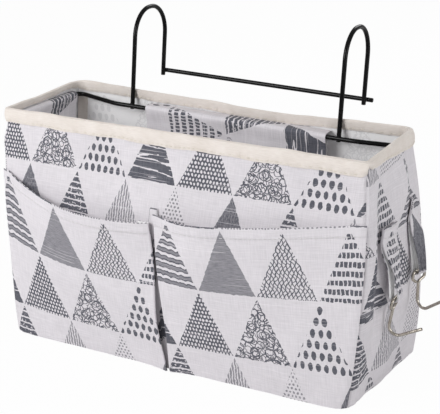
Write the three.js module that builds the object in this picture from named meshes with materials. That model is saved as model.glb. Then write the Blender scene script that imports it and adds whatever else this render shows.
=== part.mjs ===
// Bedside caddy: a sewn canvas bag whose rim is held open by a black wire frame. Two bent wire
// hooks and a cross bar hang it over a bed rail, a pleated panel makes two front pockets, and two
// fabric tabs on the right end carry small metal hooks.
// Millimetres, +Z up, +X along the rail, +Y towards the bed. The origin is under the base's centre.

import * as THREE from "three";

// Bag. The rim's middle stands forward of the base's middle. width is at the base, rim and base are
// corner radii, and bow is how far a corner bows out between the base and the rim.
const RIM_WIDTH = 333;
const RIM_DEPTH = 110;
const RIM_FORWARD = 7;
const BASE_DEPTH = 146;
const BAG_HEIGHT = 208;
const FRONT_CORNER = { width: 330, base: 14, rim: 5, bow: 4 };
const BACK_CORNER = { width: 346, base: 22, rim: 12, bow: 8 };
const CANVAS = 1.2;
const FRONT_SWELL = 3;
const END_SWELL = 3;
const CLEARANCE = 0.3;

// Cotton tape on the rim and on the seams inside
const TAPE = 0.8;
const BINDING_WIDTH = 12;
const BINDING_INNER_WIDTH = 6;
const SEAM_TAPE = 1.6;
const SEAM_TAPE_WIDTH = 11;
const BASE_TAPE_WIDTH = 9;

// Wire frame. The ring and the bar aren't level: the ring climbs from its right end to the left hook,
// and more steeply from there to its left end.
const WIRE = 4;
const WIRE_BEND = 7;
const WIRE_JOG_BEND = 60;
const HOOK_FROM_END = 64.5;
const HOOK_TO_JOG = 16;
const HOOK_REACH = 55.5;
const HOOK_LEAN = 10;
const ARCH_FLAT = 3;
const HOOK_ABOVE_RIM = 72;
const RING_CLIMB = 4;
const RING_END_CLIMB = 3.5;
const BAR_ABOVE_WIRE = 19;
const BAR_CLIMB = 4;
const BAR_END = 7;
const WELD_TAIL = 4;

// Sleeves that hold the wire inside the rim
const SLEEVE_CLOTH = 0.8;
const SLEEVE_DROP = 32;
const SLEEVE_FROM_HOOK = 14;
const BACK_SLEEVE_RIGHT = 4.5;
const SLEEVE_FROM_CORNER = 20;
const END_SLEEVE_FROM_CORNER = 12;
const SLEEVE_ROOM = 0.5;
const SLEEVE_FOLD = 2.2;

// Front pockets
const POCKET_CLOTH = 1;
const PLEAT_BELOW_RIM = 63;
const LEFT_MOUTH = { endBelowRim: 55, lowBelowRim: 77, rise: 4 };
const RIGHT_MOUTH = { endBelowRim: 50, lowBelowRim: 75.5, rise: 1 };
const POCKET_GAPE = 18;
const POCKET_FLARE = 1.2;
const PLEAT_TOP_X = -18;
const PLEAT_FOOT_X = -4;
const PLEAT_CRISPNESS = 5;
const PLEAT_PEAK = 12;

// Hook tabs on the right end, gathered at their foot into the eye of a hook. The two layers of a loop
// run straight at a bow of 0.5, and more bows them out. gap is from the wall to the loop, and the
// angles are in degrees.
const TAB_CLOTH = 0.9;
const TAB_WIDTH = 22;
const TAB_FOOT_WIDTH = 9;
const TAB_LENGTH = 64;
const TAB_STITCHED = 12;
const TAB_LOOP = 4;
const TAB_BOW = 0.6;
const FRONT_TAB = { y: -27, belowRim: 60, gap: 2.5, twist: 0, lean: 9 };
const REAR_TAB = { y: 20, belowRim: 53, gap: 4, twist: -26, lean: 0 };

// Small metal hooks
const SIDE_WIRE = 2.6;
const SIDE_BEND = 2.5;
const EYE_SIDE_ROOM = 1.2;
const EYE_ROOM = 1;
const EYE_NECK = 3;
const SHANK = 29;
const SIDE_HOOK_BEND = 7;
const SIDE_HOOK_REACH = 27;
const SIDE_HOOK_RISE = 20;

// Mesh fineness
const ARC_STEPS = 3;
const WALL_STEPS = 10;
const WALL_ROWS = 8;
const POCKET_STEPS = 14;
const POCKET_ROWS = 10;
const WIRE_SIDES = 8;
const WIRE_STEP = 5;
const SIDE_WIRE_SIDES = 8;
const SIDE_WIRE_STEP = 1.5;
const TAB_STEPS = 4;
const TAB_CURVE = 8;

const MATERIALS = {
  canvas: new THREE.MeshStandardMaterial({ color: 0xdcd8dc, roughness: 0.9, metalness: 0 }),
  tape: new THREE.MeshStandardMaterial({ color: 0xeee4d6, roughness: 0.9, metalness: 0 }),
  wire: new THREE.MeshStandardMaterial({ color: 0x16171a, roughness: 0.4, metalness: 0.3 }),
  nickel: new THREE.MeshStandardMaterial({ color: 0xb9b3a6, roughness: 0.2, metalness: 1 }),
};

const UP = new THREE.Vector3(0, 0, 1);
const QUARTER = Math.PI / 2;
const HALF_CORNER = Math.PI / 4;
const lerp = THREE.MathUtils.lerp;
const radians = THREE.MathUtils.degToRad;

// The four walls. turn is the direction that the wall faces, about +Z from +X. Seen from outside, a
// wall runs from its start corner on the left to its end corner on the right.
const SIDES = {
  front: { turn: -QUARTER, isEnd: false, start: FRONT_CORNER, end: FRONT_CORNER },
  right: { turn: 0, isEnd: true, start: FRONT_CORNER, end: BACK_CORNER },
  back: { turn: QUARTER, isEnd: false, start: BACK_CORNER, end: BACK_CORNER },
  left: { turn: 2 * QUARTER, isEnd: true, start: BACK_CORNER, end: FRONT_CORNER },
};

// Heights and places that several pieces share
const WALL_FOOT = CANVAS + CLEARANCE;
const WALL_TOP = BAG_HEIGHT - TAPE - CLEARANCE;
const BINDING_FOOT = BAG_HEIGHT - BINDING_WIDTH;
const BINDING_INNER_FOOT = BAG_HEIGHT - BINDING_INNER_WIDTH;
const BINDING_INSET = CANVAS + CLEARANCE + TAPE;
const SLEEVE_LOOP = WIRE / 2 + SLEEVE_ROOM + SLEEVE_CLOTH;
const SLEEVE_FOOT = SLEEVE_LOOP - SLEEVE_DROP;
const RING_LEFT_Z = BINDING_INNER_FOOT - CLEARANCE - SLEEVE_LOOP;
const RING_LEFT_HOOK_Z = RING_LEFT_Z - RING_END_CLIMB;
const RING_RIGHT_Z = RING_LEFT_HOOK_Z - RING_CLIMB;
const WIRE_PITCH = WIRE + CLEARANCE;
const WIRE_INSET = CANVAS + CLEARANCE + SLEEVE_LOOP;
const WIRE_X = leastOut(SIDES.right, RING_LEFT_Z, RING_RIGHT_Z + SLEEVE_FOOT) - WIRE_INSET;
const WIRE_FRONT_Y = WIRE_INSET - leastOut(SIDES.front, RING_LEFT_Z, RING_RIGHT_Z + SLEEVE_FOOT);
const WIRE_CORNER_Y = leastOut(SIDES.back, RING_LEFT_Z, RING_RIGHT_Z + SLEEVE_FOOT) - WIRE_INSET;
const HOOK_X = RIM_WIDTH / 2 - HOOK_FROM_END;
const RING_SLOPE = RING_CLIMB / (WIRE_X + HOOK_X);
const ringBackZ = (x) => RING_RIGHT_Z + RING_SLOPE * (WIRE_X - x);
const LOWEST_LEG = ringBackZ(HOOK_X) - WELD_TAIL;
const HOOK_TOP = BAG_HEIGHT + HOOK_ABOVE_RIM;
const LEG_SLOPE = HOOK_LEAN / (HOOK_TOP - LOWEST_LEG);
const RIM_LEG_Y = leastOut(SIDES.back, BAG_HEIGHT, LOWEST_LEG) - BINDING_INSET - CLEARANCE - WIRE / 2;
const legY = (z) => RIM_LEG_Y + LEG_SLOPE * (z - BAG_HEIGHT);
const WIRE_BACK_Y = legY(ringBackZ(HOOK_X)) - WIRE_PITCH;
const BAR_SLOPE = BAR_CLIMB / (2 * HOOK_X);
const barZ = (x) => ringBackZ(HOOK_X) + BAR_ABOVE_WIRE + BAR_SLOPE * (HOOK_X - x);
const barY = (x) => legY(barZ(x)) + HOOK_REACH + WIRE_PITCH;

const caddy = new THREE.Group();

function addMesh(name, geometry, material, parent = caddy) {
  const mesh = new THREE.Mesh(geometry, material);
  mesh.name = name;
  parent.add(mesh);
  return mesh;
}

// Plan of the bag at one height, as one wall sees it: where its flat stretch starts and ends, along
// and out, how far it swells in the middle, and the radii of its corners.
function planAt(side, z) {
  const share = z / BAG_HEIGHT;
  const bulge = Math.sin(Math.PI * share);
  const middle = new THREE.Vector3(0, -RIM_FORWARD * share, 0).applyAxisAngle(UP, -side.turn);
  const halfDepth = lerp(BASE_DEPTH, RIM_DEPTH, share) / 2;
  const [start, end] = [side.start, side.end].map((corner) => {
    const halfWidth = lerp(corner.width, RIM_WIDTH, share) / 2 + corner.bow * bulge;
    const [halfOut, halfRun] = side.isEnd ? [halfWidth, halfDepth] : [halfDepth, halfWidth];
    return { out: middle.x + halfOut, halfRun, radius: lerp(corner.base, corner.rim, share) };
  });
  return {
    middle: middle.y,
    flatStart: middle.y - start.halfRun + start.radius,
    flatEnd: middle.y + end.halfRun - end.radius,
    outStart: start.out,
    outEnd: end.out,
    swell: (side.isEnd ? END_SWELL : FRONT_SWELL) * bulge,
    startCorner: start.radius,
    endCorner: end.radius,
  };
}

// How far out the outer face of a wall stands at a station of its flat stretch.
function outAt(plan, station) {
  return lerp(plan.outStart, plan.outEnd, (1 + station) / 2) + plan.swell * (1 - station * station);
}

// A point on a wall. Station -1 to 1 is its flat stretch, and the corners run on to -2 and 2, where
// half of the seam's gap is left. Inset is measured inwards from the outer face.
function wallPoint(side, station, z, inset) {
  const plan = planAt(side, z);
  const corner = station < 0 ? plan.startCorner : plan.endCorner;
  const seamAngle = HALF_CORNER - CLEARANCE / 2 / (corner - CANVAS);
  const angle = seamAngle * Math.max(0, Math.abs(station) - 1);
  const radius = corner - inset;
  const share = THREE.MathUtils.clamp(station, -1, 1);
  const flat = lerp(plan.flatStart, plan.flatEnd, (1 + share) / 2);
  const along = flat + Math.sign(station) * radius * Math.sin(angle);
  const out = outAt(plan, share) - corner + radius * Math.cos(angle);
  return new THREE.Vector3(out, along, z).applyAxisAngle(UP, side.turn);
}

// The station at a place along a wall's flat stretch.
function stationAt(side, along, z) {
  const plan = planAt(side, z);
  return (2 * (along - plan.flatStart)) / (plan.flatEnd - plan.flatStart) - 1;
}

// How far out the outer face of a wall stands at a place along its flat stretch.
function wallOut(side, along, z) {
  return outAt(planAt(side, z), stationAt(side, along, z));
}

// How far out a wall stands at its nearer corner, at the nearer of two heights.
function leastOut(side, z1, z2) {
  const plans = [planAt(side, z1), planAt(side, z2)];
  return Math.min(...plans.flatMap((plan) => [plan.outStart, plan.outEnd]));
}

// The station at a distance from a seam, measured round the corner and on along the wall.
function stationFromSeam(side, atEnd, z, distance) {
  const plan = planAt(side, z);
  const arc = (atEnd ? plan.endCorner : plan.startCorner) * HALF_CORNER;
  const flat = (plan.flatEnd - plan.flatStart) / 2;
  const station = distance < arc ? 2 - distance / arc : 1 - (distance - arc) / flat;
  return atEnd ? station : -station;
}

function geometryOf(points, triangles) {
  const geometry = new THREE.BufferGeometry().setFromPoints(points);
  geometry.setIndex(triangles);
  geometry.computeVertexNormals();
  return geometry;
}

// A closed sheet between its outside, face 0, and its inside, face 1. Columns run anticlockwise
// round the bag as seen from above, and rows run upwards.
function sheetGeometry(columns, rows, pointAt) {
  const points = [];
  for (let face = 0; face < 2; face++) {
    for (let column = 0; column < columns; column++) {
      for (let row = 0; row < rows; row++) points.push(pointAt(face, column, row));
    }
  }
  const id = (face, column, row) => (face * columns + column) * rows + row;
  const triangles = [];
  const quad = (a, b, c, d) => triangles.push(a, b, c, a, c, d);
  const lastColumn = columns - 1;
  const lastRow = rows - 1;
  for (let c = 0; c < lastColumn; c++) {
    for (let r = 0; r < lastRow; r++) {
      quad(id(0, c, r), id(0, c + 1, r), id(0, c + 1, r + 1), id(0, c, r + 1));
      quad(id(1, c, r), id(1, c, r + 1), id(1, c + 1, r + 1), id(1, c + 1, r));
    }
    quad(id(0, c, 0), id(1, c, 0), id(1, c + 1, 0), id(0, c + 1, 0));
    quad(id(0, c, lastRow), id(0, c + 1, lastRow), id(1, c + 1, lastRow), id(1, c, lastRow));
  }
  for (let r = 0; r < lastRow; r++) {
    quad(id(0, 0, r), id(0, 0, r + 1), id(1, 0, r + 1), id(1, 0, r));
    quad(id(0, lastColumn, r), id(1, lastColumn, r), id(1, lastColumn, r + 1), id(0, lastColumn, r + 1));
  }
  return geometryOf(points, triangles);
}

// Stations across one wall, from seam to seam.
function wallStations(steps) {
  const arc = Array.from({ length: ARC_STEPS }, (_, i) => lerp(2, 1, i / ARC_STEPS));
  const flat = Array.from({ length: steps + 1 }, (_, i) => lerp(-1, 1, i / steps));
  return [...arc.map((s) => -s), ...flat, ...arc.toReversed()];
}

// Canvas wall panels, sewn to each other at the corners and to the base at their foot.
function addWalls() {
  const stations = wallStations(WALL_STEPS);
  for (const [name, side] of Object.entries(SIDES)) {
    const pointAt = (face, column, row) => {
      const z = lerp(WALL_FOOT, WALL_TOP, row / (WALL_ROWS - 1));
      return wallPoint(side, stations[column], z, face * CANVAS);
    };
    addMesh(`${name}_panel`, sheetGeometry(stations.length, WALL_ROWS, pointAt), MATERIALS.canvas);
  }
}

// Canvas base, with the corners of the walls that stand on it.
function addBase() {
  const shape = new THREE.Shape();
  const corners = [
    { x: 1, y: 1, corner: BACK_CORNER },
    { x: -1, y: 1, corner: BACK_CORNER },
    { x: -1, y: -1, corner: FRONT_CORNER },
    { x: 1, y: -1, corner: FRONT_CORNER },
  ];
  corners.forEach(({ x, y, corner: { width, base } }, i) => {
    const [centreX, centreY] = [x * (width / 2 - base), y * (BASE_DEPTH / 2 - base)];
    shape.absarc(centreX, centreY, base, i * QUARTER, (i + 1) * QUARTER);
  });
  const options = { depth: CANVAS, bevelEnabled: false, curveSegments: 2 * ARC_STEPS };
  addMesh("base_panel", new THREE.ExtrudeGeometry(shape, options), MATERIALS.canvas);
}

// A closed loop round the bag whose section is a polygon of [inset, z] points, listed clockwise
// with the outside of the bag on the right.
function loopGeometry(section) {
  const arc = Array.from({ length: ARC_STEPS }, (_, i) => 1 + i / ARC_STEPS);
  const flat = Array.from({ length: WALL_STEPS }, (_, i) => lerp(-1, 1, i / WALL_STEPS));
  const turnIn = arc.map((s) => s - 3);
  const stations = [...turnIn, ...flat, ...arc];
  const points = [];
  for (const side of Object.values(SIDES)) {
    for (const station of stations) {
      for (const [inset, z] of section) points.push(wallPoint(side, station, z, inset));
    }
  }
  const rings = points.length / section.length;
  const triangles = [];
  for (let ring = 0; ring < rings; ring++) {
    const next = (ring + 1) % rings;
    for (let k = 0; k < section.length; k++) {
      const l = (k + 1) % section.length;
      const [a, b] = [ring * section.length + k, next * section.length + k];
      const [c, d] = [next * section.length + l, ring * section.length + l];
      triangles.push(a, b, c, a, c, d);
    }
  }
  return geometryOf(points, triangles);
}

// Cotton binding folded over the rim, with one leg outside the walls and a narrower one inside.
function addBinding() {
  const outside = -CLEARANCE;
  const inside = CANVAS + CLEARANCE;
  const shoulder = BAG_HEIGHT - TAPE;
  const section = [
    [outside - TAPE, BINDING_FOOT],
    [outside - TAPE, shoulder],
    [outside, BAG_HEIGHT],
    [inside, BAG_HEIGHT],
    [inside + TAPE, shoulder],
    [inside + TAPE, BINDING_INNER_FOOT],
    [inside, BINDING_INNER_FOOT],
    [inside, shoulder],
    [outside, shoulder],
    [outside, BINDING_FOOT],
  ];
  addMesh("rim_binding", loopGeometry(section), MATERIALS.tape);
}

// Tape that binds the raw seams inside: one loop round the base, and one strip up each corner.
function addSeamTapes() {
  const outer = CANVAS + CLEARANCE;
  const inner = outer + SEAM_TAPE;
  const foot = WALL_FOOT;
  const top = foot + BASE_TAPE_WIDTH;
  const section = [
    [outer, foot],
    [outer, top],
    [inner, top],
    [inner, foot],
  ];
  addMesh("base_seam_tape", loopGeometry(section), MATERIALS.tape);
  const stripFoot = top + CLEARANCE;
  for (const wall of ["front", "back"]) {
    const side = SIDES[wall];
    for (const atEnd of [false, true]) {
      const hand = (wall === "front") === atEnd ? "right" : "left";
      const stripTop = (hand === "left" ? RING_LEFT_Z : RING_RIGHT_Z) - WIRE;
      const pointAt = (face, column, row) => {
        const z = lerp(stripFoot, stripTop, row / (WALL_ROWS - 1));
        const share = atEnd ? 1 - column / ARC_STEPS : column / ARC_STEPS;
        const station = stationFromSeam(side, atEnd, z, CLEARANCE + share * SEAM_TAPE_WIDTH);
        return wallPoint(side, station, z, lerp(outer, inner, face));
      };
      const geometry = sheetGeometry(ARC_STEPS + 1, WALL_ROWS, pointAt);
      addMesh(`${wall}_${hand}_seam_tape`, geometry, MATERIALS.tape);
    }
  }
}

// The path of a bent wire: straight runs between corners, each corner a round bend of its radius.
function bentWire(corners, closed = false) {
  const path = new THREE.CurvePath();
  let from = corners[0].at;
  const bends = closed ? [...corners.slice(1), corners[0]] : corners.slice(1, -1);
  for (let i = 0; i < bends.length; i++) {
    const { at, bend } = bends[i];
    const before = corners[i].at;
    const after = corners[(i + 2) % corners.length].at;
    const inward = before.clone().sub(at).normalize();
    const outward = after.clone().sub(at).normalize();
    const turn = Math.PI - inward.angleTo(outward);
    const cut = bend * Math.tan(turn / 2);
    const handle = cut - bend * (4 / 3) * Math.tan(turn / 4);
    const [start, end] = [inward, outward].map((way) => at.clone().addScaledVector(way, cut));
    const [near, far] = [inward, outward].map((way) => at.clone().addScaledVector(way, handle));
    if (i > 0 || !closed) path.add(new THREE.LineCurve3(from, start));
    path.add(new THREE.CubicBezierCurve3(start, near, far, end));
    from = end;
  }
  const last = closed ? path.curves[0].v0 : corners.at(-1).at;
  path.add(new THREE.LineCurve3(from, last));
  return path;
}

const corner = (x, y, z, bend = 0) => ({ at: new THREE.Vector3(x, y, z), bend });

function wireGeometry(corners, diameter, sides, step) {
  const path = bentWire(corners);
  const section = new THREE.Shape().absarc(0, 0, diameter / 2, 0, 2 * Math.PI);
  const steps = Math.ceil(path.getLength() / step);
  const options = { steps, extrudePath: path, bevelEnabled: false, curveSegments: sides / 2 };
  return new THREE.ExtrudeGeometry(section, options);
}

// Rim wire, bent to a ring. Its back run jogs forwards so that the hook legs stand behind it.
function addRimWire() {
  const jogX = HOOK_X + HOOK_TO_JOG;
  const path = bentWire(
    [
      corner(-WIRE_X, WIRE_FRONT_Y, RING_LEFT_Z, WIRE_BEND),
      corner(WIRE_X, WIRE_FRONT_Y, RING_RIGHT_Z, WIRE_BEND),
      corner(WIRE_X, WIRE_CORNER_Y, RING_RIGHT_Z, WIRE_BEND),
      corner(jogX, WIRE_BACK_Y, ringBackZ(jogX), WIRE_JOG_BEND),
      corner(-jogX, WIRE_BACK_Y, ringBackZ(-jogX), WIRE_JOG_BEND),
      corner(-WIRE_X, WIRE_CORNER_Y, RING_LEFT_Z, WIRE_BEND),
    ],
    true,
  );
  const steps = Math.ceil(path.getLength() / WIRE_STEP);
  addMesh("rim_wire", new THREE.TubeGeometry(path, steps, WIRE / 2, WIRE_SIDES, true), MATERIALS.wire);
}

// Hooks that go over the bed rail, welded to the back of the rim wire, and the bar that joins them.
function addBedHooks() {
  const arch = ((HOOK_REACH - ARCH_FLAT) / 2) * Math.cos(Math.atan(LEG_SLOPE));
  for (const [hand, x] of Object.entries({ left: -HOOK_X, right: HOOK_X })) {
    const foot = ringBackZ(x) - WELD_TAIL;
    const backFoot = barZ(x) - WELD_TAIL;
    const corners = [
      corner(x, legY(foot), foot),
      corner(x, legY(HOOK_TOP), HOOK_TOP, arch),
      corner(x, legY(HOOK_TOP) + HOOK_REACH, HOOK_TOP, arch),
      corner(x, legY(backFoot) + HOOK_REACH, backFoot),
    ];
    addMesh(`${hand}_bed_hook`, wireGeometry(corners, WIRE, WIRE_SIDES, WIRE_STEP), MATERIALS.wire);
  }
  const [barStart, barEnd] = [-HOOK_X - WIRE / 2, HOOK_X + BAR_END];
  const ends = [barStart, barEnd].map((x) => corner(x, barY(x), barZ(x)));
  addMesh("bed_bar", wireGeometry(ends, WIRE, WIRE_SIDES, barEnd - barStart), MATERIALS.wire);
}

// Sleeves of canvas that hang as loops round the rim wire, with a tongue sewn in under the binding.
// The section is drawn about the wire's middle.
function sleeveShape(tongue) {
  const foldZ = SLEEVE_FOOT + SLEEVE_FOLD;
  const shape = new THREE.Shape();
  shape.moveTo(tongue, SLEEVE_LOOP);
  shape.absarc(0, 0, SLEEVE_LOOP, QUARTER, Math.PI);
  shape.absarc(0, foldZ, SLEEVE_FOLD, Math.PI, 2 * Math.PI);
  shape.lineTo(SLEEVE_LOOP, -SLEEVE_LOOP);
  shape.lineTo(tongue, SLEEVE_LOOP - 2 * SLEEVE_CLOTH);
  const inside = new THREE.Path();
  inside.absarc(0, 0, SLEEVE_LOOP - SLEEVE_CLOTH, 0, Math.PI);
  inside.absarc(0, foldZ, SLEEVE_FOLD - SLEEVE_CLOTH, Math.PI, 2 * Math.PI);
  shape.holes.push(inside);
  return shape;
}

function addSleeves() {
  const endHalfRun = RIM_DEPTH / 2 - END_SLEEVE_FROM_CORNER;
  const frontHalfRun = RIM_WIDTH / 2 - SLEEVE_FROM_CORNER;
  const frontSlope = (RING_RIGHT_Z - RING_LEFT_Z) / (2 * WIRE_X);
  const frontZ = (RING_LEFT_Z + RING_RIGHT_Z) / 2;
  const backZ = ringBackZ(BACK_SLEEVE_RIGHT);
  const sleeves = {
    front: { halfRun: frontHalfRun, wireOut: -WIRE_FRONT_Y, wireZ: frontZ, slope: frontSlope, shift: 0 },
    back: {
      halfRun: HOOK_X - SLEEVE_FROM_HOOK,
      wireOut: WIRE_BACK_Y,
      wireZ: backZ,
      slope: RING_SLOPE,
      shift: -BACK_SLEEVE_RIGHT,
    },
    left: { halfRun: endHalfRun, wireOut: WIRE_X, wireZ: RING_LEFT_Z, slope: 0, shift: 0 },
    right: { halfRun: endHalfRun, wireOut: WIRE_X, wireZ: RING_RIGHT_Z, slope: 0, shift: 0 },
  };
  for (const [name, { halfRun, wireOut, wireZ, slope, shift }] of Object.entries(sleeves)) {
    const side = SIDES[name];
    const middle = planAt(side, wireZ).middle + shift;
    const highest = wireZ + SLEEVE_LOOP + Math.abs(slope) * halfRun;
    const ends = [middle - halfRun, middle + halfRun];
    const least = Math.min(...ends.map((along) => wallOut(side, along, highest)));
    const tongue = least - CANVAS - CLEARANCE - wireOut;
    const options = { depth: 2 * halfRun, bevelEnabled: false, curveSegments: 2 * ARC_STEPS };
    const geometry = new THREE.ExtrudeGeometry(sleeveShape(tongue), options).translate(0, 0, -halfRun);
    const wall = new THREE.Group();
    wall.rotation.z = side.turn;
    caddy.add(wall);
    const mesh = addMesh(`${name}_sleeve`, geometry, MATERIALS.canvas, wall);
    mesh.rotation.x = QUARTER + Math.atan(slope);
    mesh.position.set(wireOut, middle, wireZ);
  }
}

// One panel that makes both front pockets. It is sewn down at the corners, the foot and an inverted
// pleat between the pockets, and its mouth dips and gapes in between.
function addPocketPanel() {
  const side = SIDES.front;
  const across = wallStations(2 * POCKET_STEPS);
  const pointAt = (face, column, row) => {
    const up = row / (POCKET_ROWS - 1);
    const fromPleat = Math.min(1, Math.abs(across[column]));
    const { endBelowRim, lowBelowRim, rise } = across[column] < 0 ? LEFT_MOUTH : RIGHT_MOUTH;
    const climb = (lowBelowRim - endBelowRim) * fromPleat ** rise;
    const peak = (lowBelowRim - PLEAT_BELOW_RIM) * (1 - fromPleat) ** PLEAT_PEAK;
    const z = lerp(WALL_FOOT, BAG_HEIGHT - lowBelowRim + climb + peak, up);
    const pleat = stationAt(side, lerp(PLEAT_FOOT_X, PLEAT_TOP_X, up), z);
    const station = across[column] + pleat * (1 - fromPleat);
    const lobe = (1 - (1 - fromPleat) ** PLEAT_CRISPNESS) * (1 - fromPleat ** 2);
    const gape = POCKET_GAPE * lobe * up ** POCKET_FLARE;
    return wallPoint(side, station, z, -CLEARANCE - gape - (face === 0 ? POCKET_CLOTH : 0));
  };
  addMesh("pocket_panel", sheetGeometry(across.length, POCKET_ROWS, pointAt), MATERIALS.canvas);
}

// The hanging part of a tab: doubled canvas that opens at its foot as a loop round the hook's bar.
// It gathers towards its foot, and the twist grows from the stitches down.
function tabLoopGeometry(barOut, twist) {
  const loopZ = TAB_LOOP - TAB_LENGTH;
  const goRound = (path, inset) => {
    const radius = TAB_LOOP - inset;
    const top = -TAB_STITCHED - CLEARANCE - inset;
    const [inner, outer] = [inset, 2 * TAB_CLOTH - inset];
    const [near, far] = [barOut - radius, barOut + radius];
    path.moveTo(inner, top);
    path.quadraticCurveTo(lerp(inner, near, TAB_BOW), loopZ / 2, near, loopZ);
    path.absarc(barOut, loopZ, radius, Math.PI, 2 * Math.PI);
    path.quadraticCurveTo(lerp(outer, far, TAB_BOW), loopZ / 2, outer, top);
    return path;
  };
  const shape = goRound(new THREE.Shape(), 0);
  shape.holes.push(goRound(new THREE.Path(), TAB_CLOTH));
  const options = { depth: TAB_WIDTH, steps: TAB_STEPS, bevelEnabled: false, curveSegments: TAB_CURVE };
  const geometry = new THREE.ExtrudeGeometry(shape, options);
  geometry.rotateX(QUARTER).translate(0, TAB_WIDTH / 2, 0);
  const position = geometry.getAttribute("position");
  const point = new THREE.Vector3();
  const pivot = new THREE.Vector3(barOut, 0, 0);
  for (let i = 0; i < position.count; i++) {
    point.fromBufferAttribute(position, i).sub(pivot);
    point.y *= gatherAt(point.z);
    point.applyAxisAngle(UP, twistAt(point.z, twist)).add(pivot);
    position.setXYZ(i, point.x, point.y, point.z);
  }
  return geometry;
}

// How far down the hanging part of a tab a height is, from 0 to 1.
const hangAt = (z) => (-z - TAB_STITCHED) / (TAB_LENGTH - TAB_STITCHED);

const twistAt = (z, twist) => radians(twist) * hangAt(z);

const gatherAt = (z) => lerp(1, TAB_FOOT_WIDTH / TAB_WIDTH, THREE.MathUtils.smoothstep(hangAt(z), 0, 1));

// A small hook bent from one wire: the eye that the tab goes through, the shank and the open hook.
function sideHookGeometry() {
  const eye = TAB_FOOT_WIDTH / 2 + EYE_SIDE_ROOM + SIDE_WIRE / 2;
  const eyeFoot = -TAB_LOOP - SIDE_WIRE / 2 - EYE_ROOM;
  const neck = eyeFoot - EYE_NECK;
  const corners = [
    corner(0, -SIDE_WIRE - CLEARANCE, neck),
    corner(0, -eye, eyeFoot, SIDE_BEND),
    corner(0, -eye, 0, SIDE_BEND),
    corner(0, eye, 0, SIDE_BEND),
    corner(0, eye, eyeFoot, SIDE_BEND),
    corner(0, 0, neck, SIDE_BEND),
    corner(0, 0, neck - SHANK, SIDE_HOOK_BEND),
    corner(SIDE_HOOK_REACH, 0, neck - SHANK + SIDE_HOOK_RISE),
  ];
  return wireGeometry(corners, SIDE_WIRE, SIDE_WIRE_SIDES, SIDE_WIRE_STEP);
}

// The two tabs on the right end: the end that is stitched to the wall, the loop that swings from the
// last row of stitches, and the hook that hangs in the loop.
function addHookTabs() {
  const halfTab = TAB_WIDTH / 2;
  const eyeBarZ = TAB_CLOTH + CLEARANCE + SIDE_WIRE / 2 - TAB_LENGTH;
  for (const [name, tab] of Object.entries({ front: FRONT_TAB, rear: REAR_TAB })) {
    const top = BAG_HEIGHT - tab.belowRim;
    const edges = [tab.y - halfTab, tab.y, tab.y + halfTab];
    const wallAt = (z) => Math.max(...edges.map((y) => wallOut(SIDES.right, y, z)));
    const seat = Math.max(wallAt(top), wallAt(top - TAB_STITCHED)) + CLEARANCE;
    const hung = new THREE.Group();
    hung.position.set(seat, tab.y, top);
    caddy.add(hung);
    const stitched = new THREE.BoxGeometry(2 * TAB_CLOTH, TAB_WIDTH, TAB_STITCHED);
    const end = addMesh(`${name}_tab_end`, stitched, MATERIALS.canvas, hung);
    end.position.set(TAB_CLOTH, 0, -TAB_STITCHED / 2);
    const barOut = wallAt(top + eyeBarZ) - seat + tab.gap + TAB_LOOP;
    addMesh(`${name}_tab_loop`, tabLoopGeometry(barOut, tab.twist), MATERIALS.canvas, hung);
    const hook = addMesh(`${name}_side_hook`, sideHookGeometry(), MATERIALS.nickel, hung);
    hook.position.set(barOut, 0, eyeBarZ);
    hook.rotation.set(0, radians(tab.lean), twistAt(eyeBarZ, tab.twist), "ZYX");
  }
}

addWalls();
addBase();
addBinding();
addSeamTapes();
addRimWire();
addBedHooks();
addSleeves();
addPocketPanel();
addHookTabs();

export default caddy;
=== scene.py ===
from math import cos, pi, radians, sin

import bpy
import numpy as np
from mathutils import Matrix, Vector


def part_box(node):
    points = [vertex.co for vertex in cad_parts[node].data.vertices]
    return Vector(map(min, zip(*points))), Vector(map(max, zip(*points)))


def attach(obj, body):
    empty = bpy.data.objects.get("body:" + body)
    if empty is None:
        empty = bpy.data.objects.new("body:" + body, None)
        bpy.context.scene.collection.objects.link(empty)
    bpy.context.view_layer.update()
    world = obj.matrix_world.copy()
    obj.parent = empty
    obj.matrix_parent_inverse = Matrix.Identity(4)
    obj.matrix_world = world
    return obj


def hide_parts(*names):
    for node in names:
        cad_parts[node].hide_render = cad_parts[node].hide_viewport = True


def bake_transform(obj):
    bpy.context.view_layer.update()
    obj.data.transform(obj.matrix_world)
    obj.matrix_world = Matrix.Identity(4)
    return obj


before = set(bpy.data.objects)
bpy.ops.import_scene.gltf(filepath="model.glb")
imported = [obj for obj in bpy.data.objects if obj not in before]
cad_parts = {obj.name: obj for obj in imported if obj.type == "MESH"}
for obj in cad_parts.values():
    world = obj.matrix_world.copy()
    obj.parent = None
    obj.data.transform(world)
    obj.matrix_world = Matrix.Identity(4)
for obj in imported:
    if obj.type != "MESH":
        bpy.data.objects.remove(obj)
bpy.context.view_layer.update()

# Canvas walls. Four panels of plain-woven cotton and linen, printed outside with rows of grey
# triangles, are sewn to each other at the corners. They hang slack from the rim, so the cloth
# bulges and creases in places and rolls in softly to the base.
BAG_HEIGHT, RIM_WIDTH, RIM_DEPTH, RIM_FORWARD, BASE_DEPTH = 0.208, 0.333, 0.110, 0.007, 0.146
FRONT_CORNER = {"width": 0.330, "base": 0.014, "rim": 0.005, "bow": 0.004}
BACK_CORNER = {"width": 0.346, "base": 0.022, "rim": 0.012, "bow": 0.008}
CANVAS, SWELL, CLEARANCE = 0.0012, 0.003, 0.0003
WALL_TOP, FOOT_ROLL, SEAM_GROOVE, SEAM_WIDTH = 0.2069, 0.0020, 0.0011, 0.0013
SIDES = {
    "front": (-pi / 2, FRONT_CORNER, FRONT_CORNER),
    "right": (0.0, FRONT_CORNER, BACK_CORNER),
    "back": (pi / 2, BACK_CORNER, BACK_CORNER),
    "left": (pi, BACK_CORNER, FRONT_CORNER),
}
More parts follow.
